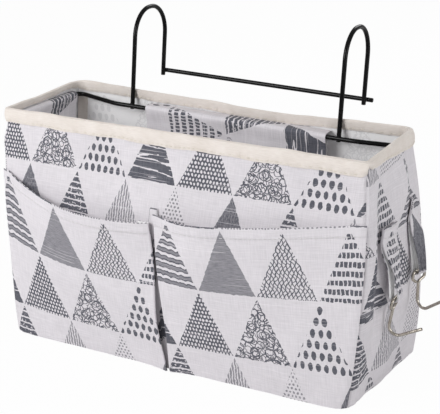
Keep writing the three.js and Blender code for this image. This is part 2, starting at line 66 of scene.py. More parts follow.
CLOTH_WHITE, CLOTH_GREY, PRINT_SLATE = (0.78, 0.75, 0.785), (0.60, 0.575, 0.605), (0.094, 0.097, 0.119)
PRINT_PITCH, PRINT_ROW, THREAD_PITCH = 0.052, 0.057, 0.0011


def plan(side, z):
    """A wall's flat stretch at height z: its two ends along the wall, how far out they stand, the
    radii of the corners there, and how far the middle swells."""
    turn, *corners = SIDES[side]
    share = z / BAG_HEIGHT
    bulge = np.sin(pi * share)
    forward = -RIM_FORWARD * share
    half_depth = (BASE_DEPTH + (RIM_DEPTH - BASE_DEPTH) * share) / 2
    runs, outs, radii = [], [], []
    for corner in corners:
        half_width = (corner["width"] + (RIM_WIDTH - corner["width"]) * share) / 2 + corner["bow"] * bulge
        out, run = (half_width, half_depth) if side in ("left", "right") else (half_depth, half_width)
        radii.append(corner["base"] + (corner["rim"] - corner["base"]) * share)
        outs.append(forward * sin(turn) + out)
        runs.append(run - radii[-1])
    middle = forward * cos(turn)
    return middle - runs[0], middle + runs[1], outs, radii, SWELL * bulge


def wall(side, station, z, inset=0.0):
    """Points of a wall. Station -1 to 1 is its flat stretch, its corners run on to -2 and 2, and
    inset is measured inwards from the outer face."""
    station, z, inset = np.broadcast_arrays(*(np.asarray(a, float) for a in (station, z, inset)))
    start, end, outs, radii, swell = plan(side, z)
    flat = np.clip(station, -1, 1)
    share = (flat + 1) / 2
    radius = np.where(station < 0, radii[0], radii[1])
    angle = pi / 4 * np.maximum(0, np.abs(station) - 1)
    along = start + (end - start) * share + np.sign(station) * (radius - inset) * np.sin(angle)
    out = outs[0] + (outs[1] - outs[0]) * share + swell * (1 - flat**2)
    out = out - radius + (radius - inset) * np.cos(angle)
    c, s = cos(SIDES[side][0]), sin(SIDES[side][0])
    return np.stack([out * c - along * s, out * s + along * c, z], -1)


def ease(low, high, value):
    """0 below low, 1 above high, and a smooth climb between them."""
    share = np.clip((value - low) / (high - low), 0, 1)
    return share * share * (3 - 2 * share)


# Where the slack cloth gives: the place, how far round it, and how the cloth moves there.
GIVES = [
    ((-0.167, -0.058, 0.140), (0.030, 0.040, 0.050), (-0.0034, 0, 0)),
    ((-0.166, -0.060, 0.182), (0.030, 0.030, 0.014), (-0.0025, 0, 0)),
    ((0.170, 0.004, 0.170), (0.030, 0.012, 0.032), (0.0060, 0, 0)),
    ((0.172, 0.030, 0.150), (0.030, 0.011, 0.030), (-0.0035, 0, 0)),
    ((0.172, 0.052, 0.150), (0.030, 0.014, 0.045), (0.0020, 0, 0)),
    ((0.176, -0.002, 0.100), (0.030, 0.009, 0.045), (-0.0062, 0, 0)),
    ((0.174, -0.037, 0.105), (0.030, 0.007, 0.050), (-0.0060, 0, 0)),
    ((0.174, -0.053, 0.115), (0.030, 0.009, 0.055), (0.0034, 0, 0)),
    ((0.172, -0.012, 0.030), (0.030, 0.016, 0.026), (0.0035, 0, 0)),
    ((0.172, -0.040, 0.030), (0.030, 0.009, 0.030), (-0.0025, 0, 0)),
    ((0.172, 0.055, 0.030), (0.030, 0.040, 0.060), (0.0030, 0, 0)),
    ((0.164, -0.072, 0.000), (0.016, 0.018, 0.016), (-0.0010, 0.0008, 0.0008)),
    ((-0.164, -0.072, 0.000), (0.016, 0.018, 0.014), (0.0005, 0.0005, 0.0005)),
    ((0.172, 0.072, 0.000), (0.018, 0.022, 0.018), (0.0, 0.0, 0.0006)),
    ((-0.172, 0.072, 0.000), (0.018, 0.022, 0.018), (0.0020, -0.0015, 0.0012)),
    ((-0.060, -0.064, 0.168), (0.060, 0.030, 0.024), (0, 0.0016, 0)),
    ((0.070, -0.064, 0.172), (0.050, 0.030, 0.022), (0, 0.0013, 0)),
    ((0.055, 0.062, 0.085), (0.060, 0.030, 0.060), (0, 0.0040, 0)),
    ((-0.085, 0.062, 0.095), (0.050, 0.030, 0.055), (0, 0.0035, 0)),
    ((-0.012, 0.062, 0.120), (0.012, 0.030, 0.060), (0, -0.0040, 0)),
    ((0.135, 0.060, 0.110), (0.010, 0.030, 0.060), (0, -0.0030, 0)),
    ((-0.176, 0.004, 0.110), (0.030, 0.012, 0.060), (0.0040, 0, 0)),
    ((-0.176, -0.032, 0.090), (0.030, 0.016, 0.055), (-0.0030, 0, 0)),
    ((-0.178, 0.040, 0.080), (0.030, 0.014, 0.055), (-0.0030, 0, 0)),
]
# Where the rim itself sags or stands out, with its binding.
RIM_GIVES = [
    ((0.045, 0.048, 0.208), (0.075, 0.030, 0.030), (0, 0, -0.0035)),
    ((-0.167, -0.062, 0.200), (0.020, 0.025, 0.040), (-0.0018, 0, 0)),
    ((-0.150, 0.045, 0.208), (0.050, 0.040, 0.030), (0, 0, 0.0018)),
]


def give(points):
    """Moves bag cloth where it gives. The wire holds most of the rim where it is."""
    slack = 1 - ease(0.176, 0.197, points[..., 2])
    moved = points.copy()
    for gives, share in ((GIVES, slack), (RIM_GIVES, 1.0)):
        for place, reach, move in gives:
            fall = np.exp(-(((points - place) / reach) ** 2).sum(-1))
            moved += (fall * share)[..., None] * np.array(move)
    return moved


def facing(face):
    """Which way each point of a grid faces: columns run anticlockwise, and rows run up."""
    across, up = np.gradient(face, axis=1), np.gradient(face, axis=0)
    normal = np.cross(across, up)
    return normal / np.maximum(np.linalg.norm(normal, axis=-1, keepdims=True), 1e-12)


def add_piece(name, points, faces, materials, uv, slots=None, body="caddy", sharp=50):
    """A mesh object from points and faces. uv is per point, in metres of cloth."""
    mesh = bpy.data.meshes.new(name)
    mesh.from_pydata(points.reshape(-1, 3).tolist(), [], faces)
    for material in materials:
        mesh.materials.append(material)
    corners = np.empty(len(mesh.loops), int)
    mesh.loops.foreach_get("vertex_index", corners)
    mesh.uv_layers.new(name="UVMap").data.foreach_set("uv", uv.reshape(-1, 2)[corners].ravel())
    if slots is not None:
        mesh.polygons.foreach_set("material_index", slots)
    mesh.polygons.foreach_set("use_smooth", np.ones(len(mesh.polygons), bool))
    mesh.set_sharp_from_angle(angle=radians(sharp))
    piece = bpy.data.objects.new(name, mesh)
    bpy.context.scene.collection.objects.link(piece)
    if body:
        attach(piece, body)
    return piece


def add_cloth(name, face, thickness, uv, materials, body="caddy"):
    """A sheet with real thickness. face is its outer side as rows and columns of points."""
    rows, columns = face.shape[:2]
    behind = face - facing(face) * np.broadcast_to(thickness, (rows, columns))[..., None]
    ids = np.arange(rows * columns).reshape(rows, columns)
    a, b, c, d = ids[:-1, :-1], ids[:-1, 1:], ids[1:, 1:], ids[1:, :-1]
    outer = np.stack([a, b, c, d], -1).reshape(-1, 4)
    inner = outer[:, ::-1] + rows * columns
    edge = np.concatenate([ids[0, :-1], ids[:-1, -1], ids[-1, :0:-1], ids[:0:-1, 0]])
    after = np.roll(edge, -1)
    rim = np.stack([edge, edge + rows * columns, after + rows * columns, after], -1)
    faces = np.concatenate([outer, inner, rim])
    slots = np.repeat([0, min(1, len(materials) - 1), 0], [len(outer), len(inner), len(rim)])
    points = np.concatenate([face.reshape(-1, 3), behind.reshape(-1, 3)])
    both_uv = np.concatenate([uv.reshape(-1, 2)] * 2)
    return add_piece(name, points, faces.tolist(), materials, both_uv, slots, body)


def run_length(face, axis):
    """How far each point of a grid lies along the cloth from the first row or column."""
    steps = np.linalg.norm(np.diff(face, axis=axis), axis=-1)
    start = np.zeros_like(np.take(steps, [0], axis))
    return np.concatenate([start, np.cumsum(steps, axis)], axis)


class Tone:
    """One socket of a material, so that shader maths is written as plain expressions."""

    def __init__(self, tree, socket):
        self.tree, self.socket = tree, socket

    def node(self, kind, settings=None, inputs=None, out=0):
        made = self.tree.nodes.new("ShaderNode" + kind)
        for name, value in (settings or {}).items():
            setattr(made, name, value)
        for key, value in (inputs or {}).items():
            if isinstance(value, Tone):
                self.tree.links.new(value.socket, made.inputs[key])
            else:
                made.inputs[key].default_value = value
        return Tone(self.tree, made.outputs[out])

    def math(self, operation, *values):
        return self.node("Math", {"operation": operation}, dict(enumerate((self, *values))))

    def __add__(self, other):
        return self.math("ADD", other)

    __radd__ = __add__

    def __mul__(self, other):
        return self.math("MULTIPLY", other)

    def __sub__(self, other):
        return self.math("SUBTRACT", other)

    def __rsub__(self, other):
        return self * -1 + other

    def __truediv__(self, other):
        return self.math("DIVIDE", other)

    def __lt__(self, other):
        return self.math("LESS_THAN", other)

    def __gt__(self, other):
        return self.math("GREATER_THAN", other)

    def __abs__(self):
        return self.math("ABSOLUTE")

    def floor(self):
        return self.math("FLOOR")

    def fract(self):
        return self.math("FRACT")

    def stretch(self, *factors):
        return self.node("VectorMath", {"operation": "MULTIPLY"}, {0: self, 1: factors})

    def noise(self, scale, detail=2.0, out="Fac"):
        settings = {"noise_dimensions": "2D"}
        return self.node("TexNoise", settings, {"Vector": self, "Scale": scale, "Detail": detail}, out)

    def blend(self, low, high):
        """A colour between low and high, by this value."""
        inputs = {"Factor": self, 6: low, 7: high}
        return self.node("Mix", {"data_type": "RGBA"}, inputs, 2)


def add_finish(name, roughness, specular=0.3, **uniform):
    """A new material, its shader and the place on the cloth or wire in metres."""
    material = bpy.data.materials.new(name)
    material.use_nodes = True
    tree = material.node_tree
    shader = tree.nodes["Principled BSDF"]
    shader.inputs["Roughness"].default_value = roughness
    shader.inputs["Specular IOR Level"].default_value = specular
    for socket, value in uniform.items():
        shader.inputs[socket.replace("_", " ")].default_value = value
    uv = Tone(tree, tree.nodes.new("ShaderNodeUVMap").outputs[0])
    return material, shader, uv


def link(tone, shader, socket):
    """Feeds a tone into a socket of a shader."""
    tone.tree.links.new(tone.socket, shader.inputs[socket])


def raise_threads(uv, shader, pitch, height, slub):
    """Bump of a plain weave, whose threads are thicker in places."""
    place = uv.node("SeparateXYZ", None, {0: uv}, 0), uv.node("SeparateXYZ", None, {0: uv}, 1)
    warp, weft = ((way * (2 * pi / pitch)).math("SINE") for way in place)
    bump = uv.node("Bump", None, {"Strength": 0.6, "Distance": height, "Height": warp * weft * 0.3 + slub})
    link(bump, shader, "Normal")


def dots(x, y, pitch_x, pitch_y, half_x, half_y):
    """Rows of ovals, each row moved along by half a pitch."""
    row = y / pitch_y
    across = (x / pitch_x + (row.floor() * 0.5).fract()).fract() - 0.5
    up = row.fract() - 0.5
    across, up = across * (pitch_x / half_x), up * (pitch_y / half_y)
    return across * across + up * up < 1


def print_ink(uv):
    """How much ink the print puts on the cloth, from 0 to 1: rows of triangles that point up, each
    row moved along by half a pitch, with twelve plain fills, four to a row. The fills come round every
    third row, and those of each third row also move along, two places more every six rows."""
    wander = uv.noise(240, 1.0, "Color")
    drawn = uv.node("VectorMath", {"operation": "MULTIPLY_ADD"}, {0: wander, 1: (0.0016, 0.0016, 0), 2: uv})
    drawn_u = drawn.node("SeparateXYZ", None, {0: drawn}, 0) - 0.0008
    drawn_v = drawn.node("SeparateXYZ", None, {0: drawn}, 1) - 0.0008
    height = drawn_v / PRINT_ROW
    row = height.floor()
    place = drawn_u / PRINT_PITCH + (row * 0.5).fract()
    column = place.floor()
    across, up = place - column - 0.5, height - row
    x, y = across * PRINT_PITCH, up * PRINT_ROW
    patch, streak = uv.noise(420, 2.0), uv.stretch(34, 260, 0).noise(1.0)
    grey = 0.48 + uv.stretch(160, 1900, 0).noise(1.0) * 0.52
    slate = 0.48 + uv.stretch(1300, 330, 0).noise(1.0) * 0.80
    loops = 0
    for scale in (95, 113, 134, 160):
        ring = uv.node("TexVoronoi", {"voronoi_dimensions": "2D"}, {"Vector": drawn, "Scale": scale})
        loops = (abs(ring - 0.38) < 0.048) + loops
    loops = loops.math("MINIMUM", 1)
    mesh = 1 - dots(x, y, 0.0031, 0.0036, 0.00094, 0.0013)
    ovals = dots(x, y, 0.0068, 0.0092, 0.0021, 0.0035)
    bars = ((y + streak * 0.016 + x * 0.04) / 0.0100).fract() < 0.80
    scallop = abs((x * (pi / 0.0075)).math("SINE")) * 0.0009
    crest = ((y - scallop) / 0.0070).fract()
    waves = (crest < 0.64) * (0.76 + (abs(crest - 0.32) > 0.16) * 0.24)
    sway = (y * (2 * pi / 0.0105)).math("SINE") * 0.0007
    slant_a, slant_b = (x + y * 0.62 + sway) / 0.0036, (x - y * 0.62 + sway) / 0.0036
    net = ((slant_a.fract() < 0.28) + (slant_b.fract() < 0.28)).math("MINIMUM", 1)
    course = y / 0.0070
    bricks = (course.fract() < 0.62) * ((x / 0.0034 + (course.floor() * 0.37).fract()).fract() < 0.74)
    bands = (((y + x * 0.04) / 0.0052).fract() < 0.74) * (patch > 0.36)
    lines = ((x + patch * 0.0012) / 0.0026).fract() < 0.55
    stipple = dots(x, y, 0.0034, 0.0032, 0.0009, 0.0010)
    fills = [mesh, loops, ovals, bars, waves, grey, net, bricks, slate, bands, lines * 0.72, stipple * 0.75]
    kind = (row / 3).fract() * 12
    third = kind > 7
    step = ((row + 1) / 6).floor().math("MAXIMUM", 0) * 2 - 1
    kind = kind + ((column + third * step) / 4).fract() * 4
    ink = 0
    for number, fill in enumerate(fills):
        ink = kind.math("COMPARE", number, 0.5) * fill + ink
    inside = (0.496 - up * 0.5 - abs(across) > 0) * (up > 0.02)
    return ink * inside


def canvas(name, strength, paler_and_painted_light=0.0):
    """Printed canvas, or its reverse where the print only shows through. The reverse is paler:
    partly the unprinted cloth's own tone, partly painted light that brightens the bag's inside.
    """
    material, shader, uv = add_finish(name, 0.92, 0.15, Sheen_Weight=0.08)
    weft, warp = uv.stretch(70, 1100, 0).noise(1.0), uv.stretch(1100, 70, 0).noise(1.0)
    slub = (weft + warp) * 0.5
    shade = uv.noise(26, 3.0)
    # A paler reverse side: partly the cloth's own tone, partly painted light that lifts the bag's dim
    # inside.
    pale = [[tone + paler_and_painted_light * (1 - tone) for tone in colour] + [1] for colour in (CLOTH_GREY, CLOTH_WHITE)]
    # Thick threads take less ink, and the plain cloth is painted lighter on them as a painted highlight.
    thick_thread_and_highlight = uv.stretch(11, 800, 0).noise(1.0) > 0.69
    cloth = (slub * 1.5 + shade * 0.5 + thick_thread_and_highlight * 0.25 - 0.48).blend(*pale)
    worn = print_ink(uv) * (0.80 + slub * 0.34) * (1 - thick_thread_and_highlight * 0.45) * strength
    link(worn.blend(cloth, (*PRINT_SLATE, 1)), shader, "Base Color")
    link(0.84 + slub * 0.16, shader, "Roughness")
    raise_threads(uv, shader, THREAD_PITCH, 0.00025, slub)
    return material


printed_canvas = canvas("printed_canvas", 1.0)
# The reverse's paler cloth is partly its own tone and partly painted light for the inside of the bag.
canvas_reverse = canvas("canvas_reverse", 0.16, 0.78)
canvas_sides = [printed_canvas, canvas_reverse]

# Each wall's print starts at its own place: along the wall, up it, how far a row leans over, how much
# closer the print lies to the left of the start, and how steeply the rows climb along the wall.
WALL_PRINT = {
    "front": (0.0025, 0.1645, 0.0060, 0.08, 0.0),
    "right": (-0.233, 0.2520, -0.010, 0.0, 0.12),
    "back": (0.010, 0.1560, 0.0, 0.0, 0.0),
    "left": (-0.020, 0.1300, 0.0, 0.0, 0.0),
}
roll = np.linspace(0.12, pi / 2, 8)
wall_z = np.concatenate([FOOT_ROLL * (1 - np.cos(roll)), np.linspace(FOOT_ROLL, WALL_TOP, 58)[1:]])
foot_inset = np.concatenate([FOOT_ROLL * (1 - np.sin(roll)), np.zeros(57)])
wall_feet = {}
for side in SIDES:
    corner_steps = np.linspace(1, 2, 10)
    middle_steps = np.linspace(-1, 1, 121 if side in ("front", "back") else 52)
    stations = np.concatenate([-corner_steps[:0:-1], middle_steps, corner_steps[1:]])[None, :]
    z = wall_z[:, None]
    start, end, _, radii, _ = plan(side, z)
    from_seam = (2 - np.abs(stations)) * np.where(stations < 0, *radii) * pi / 4
    groove = SEAM_GROOVE * np.exp(-((from_seam / SEAM_WIDTH) ** 2)) * (np.abs(stations) > 1)
    below_wire = 1 - ease(0.17, 0.19, z)
    ripple = 0.0004 * below_wire * (1 + np.sin(stations * 9 + z * 60) * np.sin(z * 85 - stations * 4))
    face = wall(side, stations, z, foot_inset[:, None] + groove + ripple * (np.abs(stations) < 1))
    wall_feet[side] = face[0, ::3]
    face = give(face)
    u0, v0, lean, closer, tilt = WALL_PRINT[side]
    along = run_length(face, 1)
    along = along - along[:, [along.shape[1] // 2]] + start / 2 + end / 2
    climb = run_length(face, 0)
    rise = climb - v0 - tilt * along
    along = along - u0 + closer * np.minimum(0, along - u0)
    uv = np.stack([along - lean * rise / PRINT_ROW, rise], -1)
    panel = add_cloth(f"{side}_wall", face, CANVAS, uv, canvas_sides)
    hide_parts(f"{side}_panel")
    cut = (float(run_length(face, 1)[:, -1].max()), float(climb[-1].max()))

# Canvas base. One panel of the same cloth, print side down, sewn to the feet of the walls. It lies
# flat where the bag stands and lifts a little at the corners.
front, right, back, left = (wall_feet[side] for side in ("front", "right", "back", "left"))
back, left = back[::-1], left[::-1]
u = np.linspace(0, 1, len(front))[None, :, None]
v = np.linspace(0, 1, len(right))[:, None, None]
base = (1 - v) * front[None] + v * back[None] + (1 - u) * left[:, None] + u * right[:, None]
base = base - (1 - u) * ((1 - v) * front[0] + v * back[0]) - u * ((1 - v) * front[-1] + v * back[-1])
underside = give(base)[::-1]
base_panel = add_cloth("base_canvas", underside, CANVAS, underside[..., :2], canvas_sides)
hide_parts("base_panel")
lo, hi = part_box("base_panel")
cut = (hi.x - lo.x, hi.y - lo.y)

# Seam tape. Cream cotton tape is folded over the raw edges inside the bag: one loop round the base
# and one strip up each corner, from the base to the wire.
TAPE_CREAM, TAPE_TAN = (0.825, 0.77, 0.73), (0.68, 0.615, 0.56)
TAPE, SEAM_TAPE, SEAM_TAPE_WIDTH, BASE_TAPE_WIDTH, TAPE_PITCH = 0.0008, 0.0016, 0.011, 0.009, 0.0007
STRIP_FOOT, STRIP_CLOTH = 0.0108, SEAM_TAPE * 0.8


def cotton_tape(name):
    """Cream cotton in a fine plain weave, a little darker and yellower in its hollows and in patches."""
    material, shader, uv = add_finish(name, 0.9, 0.2, Sheen_Weight=0.1)
    slub = uv.stretch(160, 1500, 0).noise(1.0)
    shade = uv.noise(60, 3.0)
    link((slub * 0.8 + shade * 0.9 - 0.3).blend((*TAPE_TAN, 1), (*TAPE_CREAM, 1)), shader, "Base Color")
    link(0.82 + slub * 0.16, shader, "Roughness")
    raise_threads(uv, shader, TAPE_PITCH, 0.00022, slub)
    return material


cream_tape = cotton_tape("cream_tape")
for side in ("front", "back"):
    for hand in (-1, 1):
        name = f"{side}_{'right' if (side == 'front') == (hand > 0) else 'left'}"
        strip_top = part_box(f"{name}_seam_tape")[1].z
        strip_z = np.linspace(STRIP_FOOT, strip_top, 50)[:, None]
        reach = np.linspace(0.0002, SEAM_TAPE_WIDTH, 12)[None, :]
        start, end, _, radii, _ = plan(side, strip_z)
        radius = radii[0] if hand < 0 else radii[1]
        arc = radius * pi / 4
        station = np.where(reach < arc, 2 - reach / arc, 1 - 2 * (reach - arc) / (end - start))
        crown = 0.0003 * np.sin(pi * reach / SEAM_TAPE_WIDTH) + 0.0002 * np.sin(strip_z * 700)
        inner = give(wall(side, hand * station, strip_z, CANVAS + CLEARANCE / 2 + STRIP_CLOTH + crown))
        inner = inner if hand > 0 else inner[:, ::-1]
        uv = np.stack([run_length(inner, 1), run_length(inner, 0)], -1)
        tape = add_cloth(f"{name}_corner_tape", inner, STRIP_CLOTH, uv, [cream_tape])
        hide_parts(f"{name}_seam_tape")
        cut = (SEAM_TAPE_WIDTH, strip_top - STRIP_FOOT)


def round_bag(steps_long, steps_short, steps_corner):
    """Sides and stations of one loop round the bag, from the front left seam and back to it."""
    loop = []
    for side in SIDES:
        steps = steps_long if side in ("front", "back") else steps_short
        corner = np.linspace(1, 2, steps_corner + 1)
        stations = np.concatenate([-corner[:0:-1], np.linspace(-1, 1, steps), corner[1:-1]])
        loop += [(side, station) for station in stations]
    return loop


def loop_points(loop, inset, z):
    """A grid with one row for each inset and height, and one column for each place on a loop."""
    inset, z = (np.broadcast_to(a, (np.shape(a)[0], len(loop))) for a in (inset, z))
    columns = [wall(side, station, z[:, i], inset[:, i]) for i, (side, station) in enumerate(loop)]
    return np.stack(columns, 1)


def add_ring(name, section, uv, materials):
    """A closed loop of cloth from a grid of points: rows go round its section, columns round the bag."""
    rows, columns = section.shape[:2]
    ids = np.arange(rows * columns).reshape(rows, columns)
    up, on = np.roll(ids, -1, 0), np.roll(ids, -1, 1)
    faces = np.stack([ids, on, np.roll(on, -1, 0), up], -1).reshape(-1, 4)
    return add_piece(name, section, faces.tolist(), materials, uv)


loop = round_bag(110, 46, 8)
tape_z = np.array([0.0022, 0.004, 0.007, 0.0100, 0.0103, 0.0100, 0.007, 0.004, 0.0022])[:, None]
tape_out = CANVAS + CLEARANCE + np.array([0, 0, 0, 0.0003, 0.0008, 0.0013, 0.0016, 0.0016, 0.0016])[:, None]
roll_in = FOOT_ROLL - np.sqrt(FOOT_ROLL**2 - np.maximum(0, FOOT_ROLL - tape_z) ** 2)
section = give(loop_points(loop, tape_out + roll_in, tape_z))
uv = np.stack(np.broadcast_arrays(run_length(section, 1), run_length(section, 0)), -1)
base_tape = add_ring("base_corner_tape", section, uv, [cream_tape])
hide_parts("base_seam_tape")
tape_run = float(run_length(section, 1)[3].max())

# Rim binding. A wide cream cotton tape is folded over the raw top of the walls and stitched through
# near its lower edge. It puckers along the stitches and is bulky where it turns a corner.
BINDING_WIDTH, BINDING_FOLD = 0.012, 0.0032
STITCH, STITCH_GAP, STITCH_FROM_EDGE, STITCH_STAND, THREAD = 0.0030, 0.0011, 0.0019, 0.0003, 0.00032
THREAD_CREAM = (0.86, 0.80, 0.70)
BINDING_INSIDE = {"front": 0.0060, "right": 0.0075, "back": 0.0088, "left": 0.0056}
loop = round_bag(230, 90, 12)
rim = loop_points(loop, np.zeros((1, 1)), np.full((1, 1), BAG_HEIGHT))
rim_run = run_length(np.concatenate([rim, rim[:, :1]], 1), 1)[0]
run = rim_run[:-1]
sides = np.array([side for side, _ in loop])
place = np.array([station for _, station in loop])
at_tab_corner = ((sides == "front") & (place > 0)) | ((sides == "right") & (place < 0))
narrow = np.where(sides == "right", 0.0070 * (1 - ease(-2.0, 1.2, place)), 0)
narrow = narrow + np.where(sides == "front", 0.0022 * np.clip(place - 1, 0, 1), 0)
waver = 0.0004 * np.sin(run * 71) + 0.0003 * np.sin(run * 173 + 1)
foot_z = BAG_HEIGHT - BINDING_WIDTH + narrow + waver
inside = np.array([BINDING_INSIDE[side] for side in sides])
inside = sum(np.roll(inside, k) for k in range(-12, 13)) / 25
inner_foot_z = BAG_HEIGHT - inside + 0.7 * waver[::-1]
bulk = (0.0009 + 0.0009 * at_tab_corner) * np.exp(-(((np.abs(place) - 2) / 0.9) ** 2))
pucker = 0.00032 * np.sin(run * 2 * pi / 0.0085 + 2 * np.sin(run * 31)) + 0.00026 * np.sin(run * 97)
up = np.array([0, 0.10, 0.22, 0.36, 0.5, 0.64, 0.78, 0.89, 0.96])[:, None]
swell = np.sin(pi * np.clip(up * 0.92, 0, 1)) * 0.0006
outside_z = foot_z + (BAG_HEIGHT - foot_z) * up
inside_z = inner_foot_z + (BAG_HEIGHT - inner_foot_z) * up
puckered = pucker * np.exp(-(((up - 0.15) / 0.3) ** 2))
leg_out = -CLEARANCE - TAPE - swell - bulk * np.sin(pi * up * 0.9) - puckered
leg_in = CANVAS + CLEARANCE + TAPE + swell + puckered
crown_share = np.linspace(0.15, 0.85, 6)[:, None]
crown_in = -CLEARANCE - TAPE * 0.6 + (CANVAS + 2 * CLEARANCE + 1.2 * TAPE) * crown_share + 0 * run
crown_wave = 0.0005 * np.sin(run * 53) + 0.0003 * np.sin(run * 141 + 2)
crown_z = BAG_HEIGHT - 0.0004 + 0.0006 * np.sin(pi * crown_share) + crown_wave
hidden_in = np.repeat([CANVAS + CLEARANCE * 0.4, -CLEARANCE * 0.4], 2)[:, None]
hidden_top = 0 * run + WALL_TOP + 0.0002
hidden_z = np.stack([inner_foot_z, hidden_top, hidden_top, foot_z])
section = give(
    loop_points(
        loop,
        np.concatenate([leg_out, crown_in, leg_in[::-1], hidden_in + 0 * run]),
        np.concatenate([outside_z, crown_z, inside_z[::-1], hidden_z]),
    )
)
across = run_length(section, 0)
uv = np.stack([np.broadcast_to(run, across.shape), across], -1)
binding = add_ring("binding_tape", section, uv, [cream_tape])
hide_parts("rim_binding")


def sewing_thread(name, colour):
    """Twisted cotton sewing thread, with a darker band every 0.6 mm along it: painted shade in the grooves
    of its twist.
    """
    material, shader, uv = add_finish(name, 0.75, 0.25)
    place = uv.node("SeparateXYZ", None, {0: uv}, 0)
    # Painted shade: a darker band every 0.6 mm stands for the grooves of the thread's twist.
    twist = abs((place / 0.0006).fract() - 0.5)
    link((twist * 1.6).blend((*[c * 0.72 for c in colour], 1), (*colour, 1)), shader, "Base Color")
    return material


def add_stitches(name, points, normals, material, closed=False):
    """A row of stitches along a line on cloth: each is a short thread that dips in at both ends."""
    if closed:
        points, normals = np.concatenate([points, points[:1]]), np.concatenate([normals, normals[:1]])
    line = np.concatenate([[0], np.cumsum(np.linalg.norm(np.diff(points, axis=0), axis=1))])
    count = max(1, int(line[-1] / (STITCH + STITCH_GAP)))
    step = line[-1] / count
    share = np.array([-0.5, -0.38, 0.0, 0.38, 0.5])
    thick = np.array([0.35, 0.9, 1.0, 0.9, 0.35])
    lift = np.array([-0.7, 0.3, 0.6, 0.3, -0.7])
    turns = np.arange(6) * pi / 3
    vertices, faces, places = [], [], []
    for number in range(count):
        at = (number + 0.5) * step + share * STITCH
        spot = np.stack([np.interp(at, line, points[:, k]) for k in range(3)], -1)
        normal = np.array([np.interp(at[2], line, normals[:, k]) for k in range(3)])
        way = spot[-1] - spot[0]
        way /= np.linalg.norm(way)
        normal = normal - way * (normal @ way)
        normal /= np.linalg.norm(normal)
        flank = np.cross(way, normal)
        first = len(vertices) * 30
        rings = spot[:, None] + (lift * THREAD)[:, None, None] * normal
        circle = np.cos(turns)[:, None] * flank + np.sin(turns)[:, None] * normal
        vertices.append(rings + (thick * THREAD)[:, None, None] * circle)
        places.append(np.stack(np.broadcast_arrays((at - at[0])[:, None], turns[None, :] * THREAD), -1))
        for ring in range(4):
            for k in range(6):
                a, b = first + ring * 6 + k, first + ring * 6 + (k + 1) % 6
                faces.append([a, b, b + 6, a + 6])
        faces.append([first + k for k in range(5, -1, -1)])
        faces.append([first + 24 + k for k in range(6)])
    piece = add_piece(name, np.array(vertices), faces, [material], np.array(places), sharp=80)


cream_thread = sewing_thread("cream_thread", THREAD_CREAM)
outer_inset, inner_inset = -CLEARANCE - TAPE - STITCH_STAND, CANVAS + CLEARANCE + TAPE + STITCH_STAND
for name, inset, edge in (("outer", outer_inset, foot_z), ("inner", inner_inset, inner_foot_z)):
    stitch_z = edge[None] + STITCH_FROM_EDGE
    line = give(loop_points(loop, np.full((1, len(loop)), inset), stitch_z))[0]
    behind = give(loop_points(loop, np.full((1, len(loop)), CANVAS / 2), stitch_z))[0]
    add_stitches(f"binding_{name}_stitches", line, line - behind, cream_thread, closed=True)

# Wire frame. Steel wire of 4 mm with a satin black coating: one ring in the rim, two arched hooks
# welded to the back of the ring, and a bar welded across the hooks' back legs.
WIRE, WIRE_BEND, WIRE_JOG_BEND, RING_BELOW_RIM = 0.004, 0.007, 0.060, 0.006
HOOK_X, HOOK_TO_JOG, HOOK_REACH, HOOK_LEAN, ARCH_FLAT = 0.102, 0.016, 0.0555, 0.010, 0.003
HOOK_TOP, RING_CLIMB, RING_END_CLIMB, BAR_ABOVE_WIRE, BAR_CLIMB = 0.280, 0.004, 0.0035, 0.019, 0.004
BAR_END, WELD_TAIL, SLEEVE_LOOP, SLEEVE_DROP = 0.007, 0.004, 0.0033, 0.032
WELD_SIZE = (0.0024, 0.0016, 0.0022)
WIRE_BLACK, WIRE_WORN = (0.0022, 0.0022, 0.0024), (0.007, 0.007, 0.0075)


def least_out(side, *heights):
    """The least that a wall's ends stand out at any of some heights."""
    return min(float(out) for z in heights for out in plan(side, z)[2])


ring_left_z = BAG_HEIGHT - RING_BELOW_RIM - CLEARANCE - SLEEVE_LOOP
ring_right_z = ring_left_z - RING_END_CLIMB - RING_CLIMB
wire_inset = CANVAS + CLEARANCE + SLEEVE_LOOP
heights = (ring_left_z, ring_right_z + SLEEVE_LOOP - SLEEVE_DROP)
wire_x = least_out("right", *heights) - wire_inset
wire_front_y = wire_inset - least_out("front", *heights)
wire_corner_y = least_out("back", *heights) - wire_inset


def ring_z(x):
    """Height of the ring's back run, which climbs to the left hook."""
    return ring_right_z + RING_CLIMB * (wire_x - x) / (wire_x + HOOK_X)


lowest_leg = ring_z(HOOK_X) - WELD_TAIL
LEG_SLOPE = HOOK_LEAN / (HOOK_TOP - lowest_leg)
RIM_LEG_Y = least_out("back", BAG_HEIGHT, lowest_leg) - CANVAS - 2 * CLEARANCE - TAPE - WIRE / 2


def leg_y(z):
    """Where a hook's front leg, which leans back, stands at height z."""
    return RIM_LEG_Y + LEG_SLOPE * (z - BAG_HEIGHT)


def bar_z(x):
    """Height of the cross bar, which climbs to the left hook as well."""
    return ring_z(HOOK_X) + BAR_ABOVE_WIRE + BAR_CLIMB * (HOOK_X - x) / (2 * HOOK_X)


